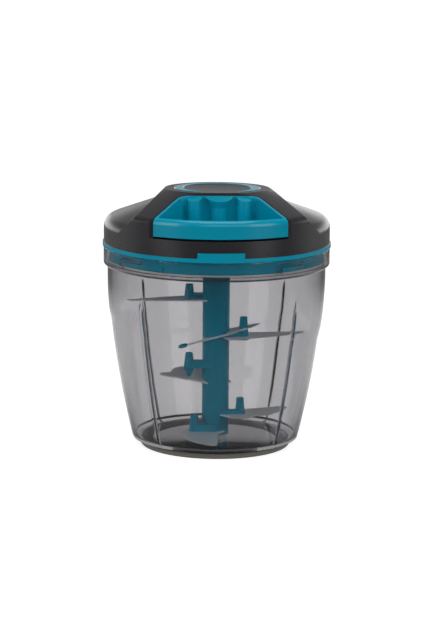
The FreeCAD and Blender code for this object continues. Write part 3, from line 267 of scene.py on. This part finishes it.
# A Principled material with an output, and the Object coordinates that its patterns read
def startMaterial(name, **values):
    material = bpy.data.materials.new(name)
    material.use_nodes = True
    material.node_tree.nodes.clear()
    shader = addNode(material, "ShaderNodeBsdfPrincipled", values)
    addNode(material, "ShaderNodeOutputMaterial", {"Surface": shader.outputs[0]})
    return material, shader, addNode(material, "ShaderNodeTexCoord").outputs["Object"]


# Lets roughness, from least to most, and a relief of depth mm follow a pattern that mostly lies in 0.3 to 0.7
def roughen(material, shader, pattern, least, most, depth):
    rough = addNode(material, "ShaderNodeMapRange", {"Value": pattern, "From Min": 0.3, "From Max": 0.7,
                    "To Min": least, "To Max": most})
    bump = addNode(material, "ShaderNodeBump", {"Height": pattern, "Distance": depth * mm, "Strength": 1.0})
    material.node_tree.links.new(rough.outputs[0], shader.inputs["Roughness"])
    material.node_tree.links.new(bump.outputs[0], shader.inputs["Normal"])


# Moulded plastic: two close shades drift over 30 mm, and pores, grain mm apart and depth mm deep, break the
# gloss. Real pores are about 0.1 mm apart and wouldn't show, so these are drawn coarser
def grainedPlastic(name, light, dark, roughness, spread, grain, depth, specular=0.5):
    material, shader, place = startMaterial(name, **{"Specular IOR Level": specular})
    drift = addNode(material, "ShaderNodeTexNoise", {"Vector": place, "Scale": 1 / (30 * mm), "Detail": 3.0})
    color = addNode(material, "ShaderNodeMix", {0: drift.outputs["Fac"], 6: linear(dark), 7: linear(light)},
                    data_type="RGBA")
    material.node_tree.links.new(color.outputs[2], shader.inputs["Base Color"])
    pores = addNode(material, "ShaderNodeTexNoise", {"Vector": place, "Scale": 1 / (grain * mm),
                    "Detail": 2.0})
    roughen(material, shader, pores.outputs["Fac"], roughness - spread, roughness + spread, depth)
    return material


# ABS, injection moulded in a polished tool: bright, with a soft gloss and faint flow marks
tealAbs = grainedPlastic("tealAbs", "#0091AC", "#008BA6", 0.2, 0.03, 1.6, 0.0008, 0.3)
# The same ABS from a mirror-polished tool, for the inlay: smooth enough to mirror the wall at a low angle
polishedAbs = grainedPlastic("polishedAbs", "#0093AE", "#008DA8", 0.12, 0.02, 4.0, 0.0005)
# ABS, moulded in a finely spark-eroded tool: near-black charcoal with a satin grain
charcoalAbs = grainedPlastic("charcoalAbs", "#252327", "#201E22", 0.3, 0.04, 0.5, 0.006)
# Acetal, moulded: slippery, slightly waxy white
whiteAcetal = grainedPlastic("whiteAcetal", "#E6E5DF", "#DDDCD5", 0.36, 0.05, 0.9, 0.006)
# Glass-filled nylon, moulded: dull grey with a coarse drift
greyNylon = grainedPlastic("greyNylon", "#7C7E80", "#6C6E71", 0.5, 0.06, 0.6, 0.012)
# Thermoplastic rubber, moulded: matt warm grey
greyRubber = grainedPlastic("greyRubber", "#817D77", "#75716B", 0.66, 0.06, 0.4, 0.014, 0.35)
# Silicone, moulded: pale and slightly soft in its gloss
paleSilicone = grainedPlastic("paleSilicone", "#CFCFCB", "#C3C3BF", 0.42, 0.05, 0.8, 0.006, 0.4)


# Metal ground along X: lines grit mm apart and 25 times as long, with a relief of depth mm. Real lines are
# finer and wouldn't show, so these are drawn coarser
def groundMetal(name, color, roughness, grit, depth, metallic=1.0):
    material, shader, place = startMaterial(name, **{"Base Color": linear(color), "Metallic": metallic})
    along = addNode(material, "ShaderNodeMapping", {"Vector": place, "Scale": (1 / 25, 1.0, 1.0)})
    lines = addNode(material, "ShaderNodeTexNoise", {"Vector": along.outputs[0], "Scale": 1 / (grit * mm),
                    "Detail": 3.0})
    roughen(material, shader, lines.outputs["Fac"], roughness * 0.8, roughness * 1.25, depth)
    return material


# Stainless sheet, satin ground: its scratches scatter so much light that it shows pale from every side
bladeSteel = groundMetal("bladeSteel", "#F4F4F5", 0.42, 0.35, 0.002, 0.35)
# Carbon steel, turned and plated: a plain grey shine
turnedSteel = groundMetal("turnedSteel", "#C2C3C6", 0.3, 0.3, 0.002)
# Spring steel, rolled and blued: dark, with a cold tint
bluedSteel = groundMetal("bluedSteel", "#666A78", 0.32, 0.3, 0.002)
# Brass, chrome plated and polished: nearly a mirror
chromedBrass = groundMetal("chromedBrass", "#DEDFE2", 0.1, 0.5, 0.001)


# Nylon yarn, braided: white and dull, with slanting yarns 1.6 mm apart broken by threads of 0.5 mm, both
# drawn about twice as coarse as they are, so that they show
def braidedNylon():
    material, shader, place = startMaterial("braidedNylon", Roughness=0.7)
    yarns = addNode(material, "ShaderNodeTexWave", {"Vector": place, "Scale": 1 / (1.6 * mm),
                    "Distortion": 1.0}, bands_direction="DIAGONAL")
    threads = addNode(material, "ShaderNodeTexNoise", {"Vector": place, "Scale": 1 / (0.5 * mm),
                      "Detail": 2.0})
    both = addNode(material, "ShaderNodeMath", {0: yarns.outputs["Fac"], 1: threads.outputs["Fac"]},
                   operation="MULTIPLY").outputs[0]
    bump = addNode(material, "ShaderNodeBump", {"Height": both, "Distance": 0.12 * mm, "Strength": 1.0})
    color = addNode(material, "ShaderNodeMix", {0: both, 6: linear("#B9B7AE"), 7: linear("#E4E2DA")},
                    data_type="RGBA")
    material.node_tree.links.new(color.outputs[2], shader.inputs["Base Color"])
    material.node_tree.links.new(bump.outputs[0], shader.inputs["Normal"])
    return material


whiteCord = braidedNylon()

smoke = {
    "gloss": {"Base Color": (1, 1, 1, 1), "Roughness": 0.03, "IOR": 1.5, "Specular IOR Level": 0.4,
              "Transmission Weight": 1.0},
    "flow": 22,                         # mm between the flow marks of the moulding
    "relief": 0.05,                     # mm
    "tint": (0.50, 0.49, 0.51, 1),      # nearly neutral, a shade to violet
    "density": 440.0,                   # how soon the light is lost, per metre of wall
    "shadow": (0.95, 0.95, 0.95, 1),    # what one face lets through to a shadow
}


# Styrene acrylonitrile, moulded and polished, tinted smoke grey: light is lost along its way through the
# wall, so edges and ribs show darker than the wall between them
def smokedPlastic():
    material, shader, place = startMaterial("smokedSan", **smoke["gloss"])
    marks = addNode(material, "ShaderNodeTexNoise", {"Vector": place, "Scale": 1 / (smoke["flow"] * mm),
                    "Detail": 1.0})
    bump = addNode(material, "ShaderNodeBump", {"Height": marks.outputs["Fac"],
                   "Distance": smoke["relief"] * mm, "Strength": 1.0})
    material.node_tree.links.new(bump.outputs[0], shader.inputs["Normal"])
    path = addNode(material, "ShaderNodeLightPath")
    shadow = addNode(material, "ShaderNodeBsdfTransparent", {"Color": smoke["shadow"]})
    mix = addNode(material, "ShaderNodeMixShader", {0: path.outputs["Is Shadow Ray"], 1: shader.outputs[0],
                  2: shadow.outputs[0]})
    loss = addNode(material, "ShaderNodeVolumeAbsorption", {"Color": smoke["tint"],
                   "Density": smoke["density"]})
    output = material.node_tree.get_output_node("ALL")
    material.node_tree.links.new(mix.outputs[0], output.inputs["Surface"])
    material.node_tree.links.new(loss.outputs[0], output.inputs["Volume"])
    return material


clearSan = smokedPlastic()
print("materials ready")


# Shapes

samePlace = 1e-6    # metres, points nearer than this are merged


# One mesh from points and faces, turned right side out, smooth up to an angle in degrees
def putMesh(name, points, faces, material, body, smooth):
    mesh = bpy.data.meshes.new(name)
    mesh.from_pydata(points.reshape(-1, 3).tolist(), [], faces)
    work = bmesh.new()
    work.from_mesh(mesh)
    bmesh.ops.remove_doubles(work, verts=work.verts, dist=samePlace)
    bmesh.ops.recalc_face_normals(work, faces=work.faces)
    if work.calc_volume(signed=True) < 0:
        bmesh.ops.reverse_faces(work, faces=work.faces)
    work.to_mesh(mesh)
    work.free()
    mesh.materials.append(material)
    mesh.shade_smooth()
    mesh.set_sharp_from_angle(angle=math.radians(smooth))
    piece = bpy.data.objects.new(name, mesh)
    bpy.context.scene.collection.objects.link(piece)
    if body:    # a piece given no body is left unattached
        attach(piece, body)
    return piece


# Quads between the neighbours of a grid whose rows are rings, numbered row by row
def gridFaces(rows, columns):
    i, j = np.meshgrid(np.arange(rows - 1), np.arange(columns), indexing="ij")
    after = (j + 1) % columns
    corners = [i * columns + j, i * columns + after, (i + 1) * columns + after, (i + 1) * columns + j]
    return np.stack(corners, -1).reshape(-1, 4).tolist()


# Line through corners (r, z, rounding in mm): each corner becomes an arc tangent to its two sides
def roundedPath(corners, steps=6):
    points = []
    flat = np.array(corners, float)[:, :2]
    for k, here in enumerate(flat):
        rounding = corners[k][2]
        if rounding == 0:
            points.append(here)
            continue
        back, ahead = flat[k - 1] - here, flat[k + 1] - here
        back, ahead = back / np.linalg.norm(back), ahead / np.linalg.norm(ahead)
        half = math.acos(np.clip(back @ ahead, -1, 1)) / 2
        reach = rounding / math.tan(half)
        middle = here + (back + ahead) / np.linalg.norm(back + ahead) * rounding / math.sin(half)
        start, end = here + back * reach, here + ahead * reach
        for share in np.linspace(0, 1, steps + 1):
            spot = start * (1 - share) + end * share - middle
            points.append(middle + spot / np.linalg.norm(spot) * rounding)
    return np.array(points)


# Points of an arc between two points, without the last; side 1 bulges to the right of the way, -1 to the left
def bulged(start, end, radius, side, count):
    start, end = np.array(start, float), np.array(end, float)
    chord = end - start
    length = np.linalg.norm(chord)
    half = math.asin(length / 2 / radius)
    across = np.array([chord[1], -chord[0]]) / length * side
    middle = (start + end) / 2 - across * radius * math.cos(half)
    angles = np.linspace(-half, half, count + 1)[:-1]
    return [middle + radius * (math.sin(a) * chord / length + math.cos(a) * across) for a in angles]


# Corners in the plane, where arcs {index of the first corner: (radius, side)} bulge the edge that starts
# there; the second result says which edge each point starts or lies on
def outline(corners, arcs, steps=12):
    points, edges = [], []
    for k, corner in enumerate(corners):
        after = corners[(k + 1) % len(corners)]
        line = bulged(corner, after, *arcs[k], steps) if k in arcs else [np.array(corner, float)]
        points += line
        edges += [k] * len(line)
    return np.array(points), np.array(edges)


# Points of a circle in the plane
def ring(middle, radius, count=40):
    angles = np.linspace(0, math.tau, count, endpoint=False)
    return np.stack([middle[0] + radius * np.cos(angles), middle[1] + radius * np.sin(angles)], -1)


# 0 below low, 1 above high, and a smooth S between
def ramp(value, low, high):
    share = np.clip((value - low) / (high - low), 0, 1)
    return share * share * (3 - 2 * share)


# Bowl

bowlSizes = {
    "underside": 3.5,
    "floorTop": 5.4,
    "wall": 2.2,
    "groove": (41.0, 43.6, 4.5),        # inner radius, outer radius and top of the groove for the grip ring
    "grooveRound": 0.2,
    "foot": 50.1,                       # outer radius at the underside
    "footRound": 4.5,
    "innerFoot": 48.375,                # inner radius at the floor
    "floorRound": 3.4,
    "floorRings": (43.6, 42.3, 41.0, 30.0, 12.0, 0.0),  # radii of the floor's rings of points
    "wallStart": 47.1,                  # points outside this radius belong to the wall
    "waist": (62.5, 69.0),              # radius and height where the step starts
    "step": (63.95, 74.5),              # and where it ends
    "neck": (66.15, 111.5),             # and under the collar
    "bodyCurve": 490.0,                 # the wall's radius of curvature below the step
    "neckCurve": 250.0,                 # and above it
    "bodyRows": (44, 40),               # rings of points outside and inside, below the step
    "neckRows": (26, 24),               # and above it
    "neckRound": 0.5,
    "collar": 68.6,                     # outer radius
    "collarRound": 1.6,                 # lower edge
    "collarInner": 67.0,
    "ledge": 113.8,                     # where the collar's inner wall stands on the neck
    "ledgeRound": (0.3, 0.4),
    "rim": 122.6,
    "rimRound": 0.35,
    "rimRows": (0.6, 0.3),              # rings inside the collar: how far from its ends, and how far apart
    "ribDepth": 1.6,
    "ribHalfAngle": 0.5,                # degrees
    "ribFlank": (0.3, 1.8),             # where a rib's side starts and ends, as shares of that angle
    "ribTop": 97.0,
    "ribPoint": 9.0,                    # a rib runs out over this height
    "ribFoot": (41.0, 44.5),            # and over these radii on the floor
    "even": (46.0, 99.0),               # between these heights the wall is even in front and behind
    "stepSide": (0.5, 0.85),            # where the step starts and is whole, as the sine of the angle
    "stepRise": (3.1, 5.9),             # the step's move up, and how much more on the left than in front
    # start and end in degrees past each quarter, bottom and top of the bayonet catches and their stops
    "catch": (32.0, 46.5, 118.6, 120.4),
    "stop": (29.5, 32.5, 113.8, 119.5),
    "catchReach": 1.0,                  # how far both stand inwards
    "catchFade": 0.2,                   # degrees or mm over which their sides rise, each way
    "columnAngle": 2.0,                 # degrees between the columns of points
    "ribColumns": (0, 0.4, 0.7, 1.0, 1.3, 1.6, 2.0),    # more at a rib, as shares of its half angle
    "edgeColumns": (-0.3, -0.15, 0, 0.15, 0.3),         # and at the ends of a catch or stop, in degrees
}


# The bowl's outline (r, z) from the middle of the underside up the outside, over the rim, down the inside and
# back to the axis: arcs for the walls, straight lines elsewhere, and a rounding at each corner
def bowlProfile():
    b = bowlSizes
    waist, step, neck = (np.array(b[name]) for name in ("waist", "step", "neck"))
    inward = np.array([b["wall"], 0])
    underside, floor, ledge, rim = (b[name] for name in ("underside", "floorTop", "ledge", "rim"))
    neckInner = neck[0] - b["wall"]
    bodyRows, bodyRowsIn = b["bodyRows"]
    neckRows, neckRowsIn = b["neckRows"]
    bodyOut = bulged((b["foot"], underside), waist, b["bodyCurve"], 1, bodyRows)[1:]
    neckOut = bulged(step, neck, b["neckCurve"], 1, neckRows)[1:]
    neckIn = bulged((neckInner, ledge), step - inward, b["neckCurve"], -1, neckRowsIn)[1:]
    bodyIn = bulged(waist - inward, (b["innerFoot"], floor), b["bodyCurve"], -1, bodyRowsIn)[1:]
    bodyIn = bodyIn[:-3]    # makes room for the rounding at the floor
    grooveIn, grooveOut, grooveTop = b["groove"]
    corners = [(0.0, underside, 0)]
    corners += [(r, z, b["grooveRound"]) for r, z in ((grooveIn, underside), (grooveIn, grooveTop),
                                                      (grooveOut, grooveTop), (grooveOut, underside))]
    corners += [(b["foot"], underside, b["footRound"])]
    corners += [(*point, 0) for point in (*bodyOut, waist, step, *neckOut)]
    corners += [(*neck, b["neckRound"]), (b["collar"], neck[1], b["collarRound"])]
    corners += [(b["collar"], rim, b["rimRound"]), (b["collarInner"], rim, b["rimRound"])]
    margin, apart = b["rimRows"]
    corners += [(b["collarInner"], z, 0) for z in np.arange(rim - margin, ledge + margin, -apart)]
    corners += [(b["collarInner"], ledge, b["ledgeRound"][0]), (neckInner, ledge, b["ledgeRound"][1])]
    corners += [(*point, 0) for point in (*neckIn, step - inward, waist - inward, *bodyIn)]
    corners += [(b["innerFoot"], floor, b["floorRound"])]
    corners += [(r, floor, 0) for r in b["floorRings"]]
    return roundedPath(corners)


# Directions round the bowl in degrees from the front, closer together at the ribs, catches and stops
def bowlColumns():
    b = bowlSizes
    marks = list(np.arange(0, 360, b["columnAngle"]))
    for quarter in range(0, 360, 90):
        for share in b["ribColumns"]:
            marks += [quarter + 45 + share * b["ribHalfAngle"], quarter + 45 - share * b["ribHalfAngle"]]
        for edge in (*b["catch"][:2], *b["stop"][:2]):
            marks += [quarter + edge + offset for offset in b["edgeColumns"]]
    return np.unique(np.round(np.array(marks) % 360, 3))


# How far the wall moves out: the step of the turned profile less an even curve, moved up or down by the angle
# and faded out in front and behind, less what the profile already has of it
def stepMove(profile, highest, z, angle):
    b = bowlSizes
    low, high = b["even"]
    outer = profile[:highest + 1]
    outer = outer[outer[:, 0] > b["wallStart"]]

    # The profile less a cubic that has its radius and slope at both heights, each slope taken over 1 mm
    def step(height):
        share = np.clip((height - low) / (high - low), 0, 1)
        ends = np.interp([low, low + 1, high - 1, high], outer[:, 1], outer[:, 0])
        slopes = (ends[1] - ends[0]) * (high - low), (ends[3] - ends[2]) * (high - low)
        even = (ends[0] * (1 + 2 * share) * (1 - share) ** 2 + ends[3] * share ** 2 * (3 - 2 * share)
                + slopes[0] * share * (1 - share) ** 2 - slopes[1] * share ** 2 * (1 - share))
        stepped = np.interp(height, outer[:, 1], outer[:, 0]) - even
        return np.where((height > low) & (height < high), stepped, 0)

    aside = np.sin(np.radians(angle))
    lifted = z - b["stepRise"][0] + b["stepRise"][1] * aside
    return ramp(np.abs(aside), *b["stepSide"]) * step(lifted) - step(z)


# The profile turned round the axis: x is the radius times the sine of the angle from the front, and y is
# minus the radius times its cosine. The inner wall moves in at the ribs, catches and stops, and both walls
# move with the step
def makeBowl():
    b = bowlSizes
    profile, columns = bowlProfile(), bowlColumns()
    r, z = (profile[:, k][:, None] for k in (0, 1))
    highest = int(np.argmax(profile[:, 1]))
    inside = (np.arange(len(profile)) > highest)[:, None]
    angle = columns[None, :]
    quarter = angle % 90
    fromRib = np.abs(quarter - 45) / b["ribHalfAngle"]
    ribHeight = 1 - ramp(z, b["ribTop"] - b["ribPoint"], b["ribTop"])
    move = b["ribDepth"] * ribHeight * ramp(r, *b["ribFoot"]) * (1 - ramp(fromRib, *b["ribFlank"]))
    fade = b["catchFade"]
    atCollar = r > (b["collarInner"] + b["neck"][0] - b["wall"]) / 2
    for start, end, bottom, top in (b["catch"], b["stop"]):
        across = ramp(quarter, start - fade, start + fade) * (1 - ramp(quarter, end - fade, end + fade))
        upright = ramp(z, bottom - fade, bottom + fade) * (1 - ramp(z, top - fade, top + fade))
        move = np.maximum(move, b["catchReach"] * across * upright * atCollar)
    radius = r - move * inside + stepMove(profile, highest, z, angle) * (r > b["wallStart"])
    turn = np.radians(angle)
    points = np.stack([radius * np.sin(turn), -radius * np.cos(turn), z + 0 * turn], -1) * mm
    piece = putMesh("bowlShell", points, gridFaces(*points.shape[:2]), clearSan, "bowl", 40)
    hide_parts("bowl")


makeBowl()
print("bowl ready")


# Hard parts that keep the frame's form and get rounded edges

softening = {
    "merge": 2e-6,          # metres, points nearer than this are merged
    "shortest": 1e-6,       # metres, shorter edges go
    "flat": 0.1,            # degrees, faces nearer to one plane than this become one
    "sharp": 28.0,          # degrees, sharper edges are rounded
    "segments": 3,
    "smooth": 0.9998,       # a point is smooth where its drawn normals agree this well; 1 is wholly
    "crease": 0.9995,       # an edge is a crease where those of its two faces agree less than this
    "sizeWeight": 60,       # how much a large face counts against a small one in the shading, 50 is evenly
    "wholeWeight": 0.5,     # the rounding's new points count as smooth from this weight on
}


# One property of all items as a numpy array
def readAll(items, name, kind, width=1):
    values = np.empty(len(items) * width, kind)
    items.foreach_get(name, values)
    return values.reshape(-1, width) if width > 1 else values


# Which points are smooth and which edges are creases, by the normals drawn at the mesh's corners: at a smooth
# point they add up to nearly their number, and at a crease those of its two faces fall short of it
def smoothAndCreased(mesh):
    lines = readAll(mesh.attributes["drawnNormal"].data, "vector", np.float32, 3)
    corners = readAll(mesh.loops, "vertex_index", np.int32)
    edges = readAll(mesh.loops, "edge_index", np.int32)
    sums = np.zeros((len(mesh.vertices), 3))
    np.add.at(sums, corners, lines)
    counts = np.bincount(corners, minlength=len(sums))
    smooth = np.linalg.norm(sums, axis=1) > softening["smooth"] * counts
    first = readAll(mesh.polygons, "loop_start", np.int32)
    last = first + readAll(mesh.polygons, "loop_total", np.int32) - 1
    following = np.arange(len(corners)) + 1
    following[last] = first
    forward = (corners < corners[following])[:, None]
    ends = np.zeros((2, len(mesh.edges), 3))
    np.add.at(ends[0], edges, np.where(forward, lines, lines[following]))
    np.add.at(ends[1], edges, np.where(forward, lines[following], lines))
    creased = np.linalg.norm(ends, axis=2).sum(axis=0) < 4 * softening["crease"]    # two faces, two ends
    return smooth, creased


# The node's mesh merged, levelled at the height top where it is given, its flat stretches made one face each,
# and its sharp edges rounded by width in mm. Where the drawn surface is smooth its normals are taken over
def softened(node, name, material, width, top=None):
    source = nodes[node]
    drawn = source.data.copy()
    lines = readAll(source.data.corner_normals, "vector", np.float32, 3)
    drawn.attributes.new("drawnNormal", "FLOAT_VECTOR", "CORNER").data.foreach_set("vector", lines.ravel())
    if top:
        places = readAll(drawn.vertices, "co", np.float32, 3)
        places[:, 2] = np.minimum(places[:, 2], top)
        drawn.vertices.foreach_set("co", places.ravel())
    work = bmesh.new()
    work.from_mesh(drawn)
    bmesh.ops.remove_doubles(work, verts=work.verts, dist=softening["merge"])
    bmesh.ops.dissolve_degenerate(work, edges=work.edges, dist=softening["shortest"])
    bmesh.ops.dissolve_limit(work, angle_limit=math.radians(softening["flat"]), verts=work.verts,
                             edges=work.edges)
    mesh = bpy.data.meshes.new(name)
    work.to_mesh(mesh)
    work.free()
    bpy.data.meshes.remove(drawn)
    smooth, creased = smoothAndCreased(mesh)
    mesh.attributes.remove(mesh.attributes["drawnNormal"])
    mesh.materials.append(material)
    mesh.shade_smooth()
    mesh.attributes.new("sharp_edge", "BOOLEAN", "EDGE").data.foreach_set("value", creased)
    piece = bpy.data.objects.new(name, mesh)
    bpy.context.scene.collection.objects.link(piece)
    group = piece.vertex_groups.new(name="smoothStretch")
    group.add(np.flatnonzero(smooth).tolist(), 1.0, "REPLACE")

    bevel = piece.modifiers.new("roundedEdges", "BEVEL")
    bevel.width = width * mm
    bevel.segments = softening["segments"]
    bevel.limit_method = "ANGLE"
    bevel.angle_limit = math.radians(softening["sharp"])
    bevel.miter_outer = "MITER_ARC"
    whole = piece.modifiers.new("wholeWeights", "VERTEX_WEIGHT_EDIT")
    whole.vertex_group = group.name
    whole.use_remove = True
    whole.remove_threshold = softening["wholeWeight"]
    normals = piece.modifiers.new("evenNormals", "WEIGHTED_NORMAL")
    normals.keep_sharp = True
    normals.weight = softening["sizeWeight"]
    carry = piece.modifiers.new("drawnNormals", "DATA_TRANSFER")
    carry.object = source
    carry.use_object_transform = False
    carry.vertex_group = group.name
    carry.use_loop_data = True
    carry.data_types_loops = {"CUSTOM_NORMAL"}
    carry.loop_mapping = "POLYINTERP_NEAREST"
    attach(piece, source["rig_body"])
    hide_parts(node)


# node, piece, material and rounding in mm; the handle's upper edge is level at its top
softened("top_cover", "coverShell", charcoalAbs, 0.6)
softened("pull_handle", "pullHandle", tealAbs, 0.5, top=157.1 * mm)
softened("crescent_inlay", "crescentInlay", polishedAbs, 0.25)
softened("lid_base", "lidBase", tealAbs, 0.3)
softened("blade_shaft", "bladeShaft", tealAbs, 0.4)
softened("base_ring", "gripRing", greyRubber, 0.6)
softened("lid_seal", "sealRing", paleSilicone, 0.3)
print("hard parts ready")


# Blades

bladeSizes = {
    "thickness": 0.9,
    "core": 4.4,        # radius of the hole for the shaft
    "grind": 2.4,       # width of the ground slope along the cutting edge
    "edge": 0.3,        # what is left of the thickness there
    "blunt": 0.15,      # how far the other edges are broken
}
# height of the underside; heading, rise and bank in degrees; post (x, y, radius) through the plate; corners
# from the heel round the cutting edge to the tip and back; arcs as in outline; ground edges by first corner
bladePlates = {
    "topBlade": {
        "node": "blade_top", "height": 88.9, "heading": 180, "rise": 0, "bank": 0,
        "post": (16.3, -3.5, 3.15),
        "corners": [(-7.4, 1), (-2, -13), (8, -15.2), (54.5, 2.2), (53.3, 4.6), (12, 5.6), (4, 6.2),
                    (-5, 5.2)],
        "arcs": {1: (24, 1), 2: (230, 1)}, "ground": (2,),
    },
    "frontBlade": {
        "node": "blade_front", "height": 67.1, "heading": 0, "rise": -15.5, "bank": 0,
        "post": (17.3, -5.0, 2.85),
        "corners": [(-20.6, -8.2), (-9, -9.6), (6, -11.2), (27.8, -4), (26.6, -2), (12, 3.5), (2, 7.5),
                    (-7, 3), (-9.4, -8), (-20.6, -6.8)],
        "arcs": {2: (60, 1)}, "ground": (2,),
    },
    "upperBlade": {
        "node": "blade_upper", "height": 66.4, "heading": 0, "rise": -1.5, "bank": 0,
        "post": (16.6, -5.0, 3.15),
        "corners": [(4, -6.6), (7.5, -15.2), (54.5, 2.2), (53.3, 4.6), (12, 6.2), (4, 6.6)],
        "arcs": {1: (230, 1)}, "ground": (1,),
    },
    "rearBlade": {
        "node": "blade_rear", "height": 39.4, "heading": 180, "rise": -5, "bank": -17,
        "post": None,
        "corners": [(-9.6, 2), (-2, -12), (10, -14.5), (24, -11), (27.5, -3.5), (34.5, -1), (33.5, 1),
                    (12, 5), (1, 7.7)],
        "arcs": {2: (26, 1), 3: (9, 1)}, "ground": (2, 3),
    },
    "lowerBlade": {
        "node": "blade_lower", "height": 18.6, "heading": 17, "rise": 0, "bank": 0,
        "post": (12.8, -9.15, 3.15),
        "corners": [(-7.2, 1), (0, -7.6), (5, -18.8), (16, -20.4), (23.4, -15.6), (30, -16.2), (35.5, -11.6),
                    (47, -1.2), (45.6, 1.6), (14, 1.5), (2, 7.5)],
        "arcs": {2: (14, 1), 3: (9, -1), 4: (7, 1), 5: (12, -1), 6: (30, 1)}, "ground": (2, 3, 4, 5, 6),
    },
    "bottomBlade": {
        "node": "blade_bottom", "height": 8.0, "heading": 268, "rise": 0, "bank": 0,
        "post": (7.45, -12.75, 3.15),
        "corners": [(-7.2, 1), (0, -7.6), (4, -18.4), (7, -20), (44.3, -1.2), (42.9, 1), (14, 1.5), (2, 7.5)],
        "arcs": {3: (36, 1)}, "ground": (3,),
    },
}


# A plate between two flat faces with holes: its rim runs from the underside up to the edge, then slopes in by
# the grind's width to the upper face. It turns by bank, rise and heading, and goes up to its height
def makeBlade(name, node, height, heading, rise, bank, post, corners, arcs, ground):
    b = bladeSizes
    flat, edges = outline(corners, arcs)
    way = np.roll(flat, -1, 0) - np.roll(flat, 1, 0)
    inward = np.stack([-way[:, 1], way[:, 0]], -1) / np.linalg.norm(way, axis=1, keepdims=True)
    keen = (np.isin(edges, ground) & np.isin(np.roll(edges, 1), ground))[:, None]    # ground on both sides
    rims = [(flat + inward * b["blunt"], 0.0), (flat, b["blunt"]),
            (flat, np.where(keen, b["edge"], b["thickness"] - b["blunt"])),
            (flat + inward * np.where(keen, b["grind"], b["blunt"]), b["thickness"])]
    layers = [np.column_stack([loop, np.broadcast_to(z, (len(loop), 1))]) for loop, z in rims]
    points, count = np.concatenate(layers), len(flat)
    faces = gridFaces(len(rims), count)
    under, over = [layers[0]], [layers[-1]]
    underPlaces = list(range(count))
    overPlaces = list(range(len(points) - count, len(points)))
    holes = [ring((0, 0), b["core"])] if corners[0][0] < 0 else []    # a heel behind the axis takes the shaft
    holes += [ring(post[:2], post[2])] if post else []
    for hole in holes:
        first, size = len(points), len(hole)
        under.append(np.column_stack([hole, np.zeros(size)]))
        over.append(under[-1] + [0, 0, b["thickness"]])
        points = np.concatenate([points, under[-1], over[-1]])
        faces += [[first + place for place in face] for face in gridFaces(2, size)]
        underPlaces += range(first, first + size)
        overPlaces += range(first + size, first + 2 * size)
    for places, loops in ((underPlaces, under), (overPlaces, over)):
        triangles = tessellate_polygon([[Vector(point) for point in loop] for loop in loops])
        faces += [[places[i] for i in triangle] for triangle in triangles]
    turn = (Matrix.Rotation(math.radians(heading), 3, "Z") @ Matrix.Rotation(math.radians(rise), 3, "Y")
            @ Matrix.Rotation(math.radians(bank), 3, "X"))
    placed = (points @ np.array(turn).T + [0, 0, height]) * mm
    piece = putMesh(name, placed, faces, bladeSteel, "blade_unit", 8)
    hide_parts(node)


for name, plate in bladePlates.items():
    makeBlade(name, **plate)
print("blades ready")


# The cord between the eyelet and the handle, a short stub at rest

cordStretch = {
    "radius": 0.97,
    "height": 144.0,
    "rings": (28.6, 29.3, 29.6, 29.9, 30.2, 30.5, 31.2),    # how far in front of the lid's axis
    "corners": 20,      # of each ring
}


# Rings of one radius round a line along -Y, closed at both ends
def makeCordStretch():
    c = cordStretch
    angle, reach = np.meshgrid(np.linspace(0, math.tau, c["corners"], endpoint=False), c["rings"])
    across, up = c["radius"] * np.cos(angle), c["height"] + c["radius"] * np.sin(angle)
    points = np.stack([across, -reach, up], -1) * mm
    faces = gridFaces(len(c["rings"]), c["corners"])
    last = (len(c["rings"]) - 1) * c["corners"]
    faces += [list(range(c["corners"])), list(range(last, last + c["corners"]))]
    piece = putMesh("cordStretch", points, faces, whiteCord, None, 40)
    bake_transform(piece)


makeCordStretch()
print("cord ready")


# Parts that keep the frame's form, most of them inside, and what each is made of

keptParts = {
    "pivot_pin": turnedSteel, "housing_screws": turnedSteel, "reel_axle": turnedSteel,
    "handle_screws": turnedSteel, "return_spring": bluedSteel, "cord_eyelet": chromedBrass,
    "drive_bush": whiteAcetal, "cord_reel": whiteAcetal, "spring_cover": whiteAcetal,
    "pawl_left": whiteAcetal, "pawl_right": whiteAcetal, "drive_cup": greyNylon,
    "handle_back": tealAbs, "blade_cap": tealAbs,
    "cord_run": whiteCord, "cord_winding": whiteCord, "cord_end": whiteCord,
}
for node, material in keptParts.items():
    data = nodes[node].data
    data.materials.clear()
    data.materials.append(material)
print("carried parts ready")
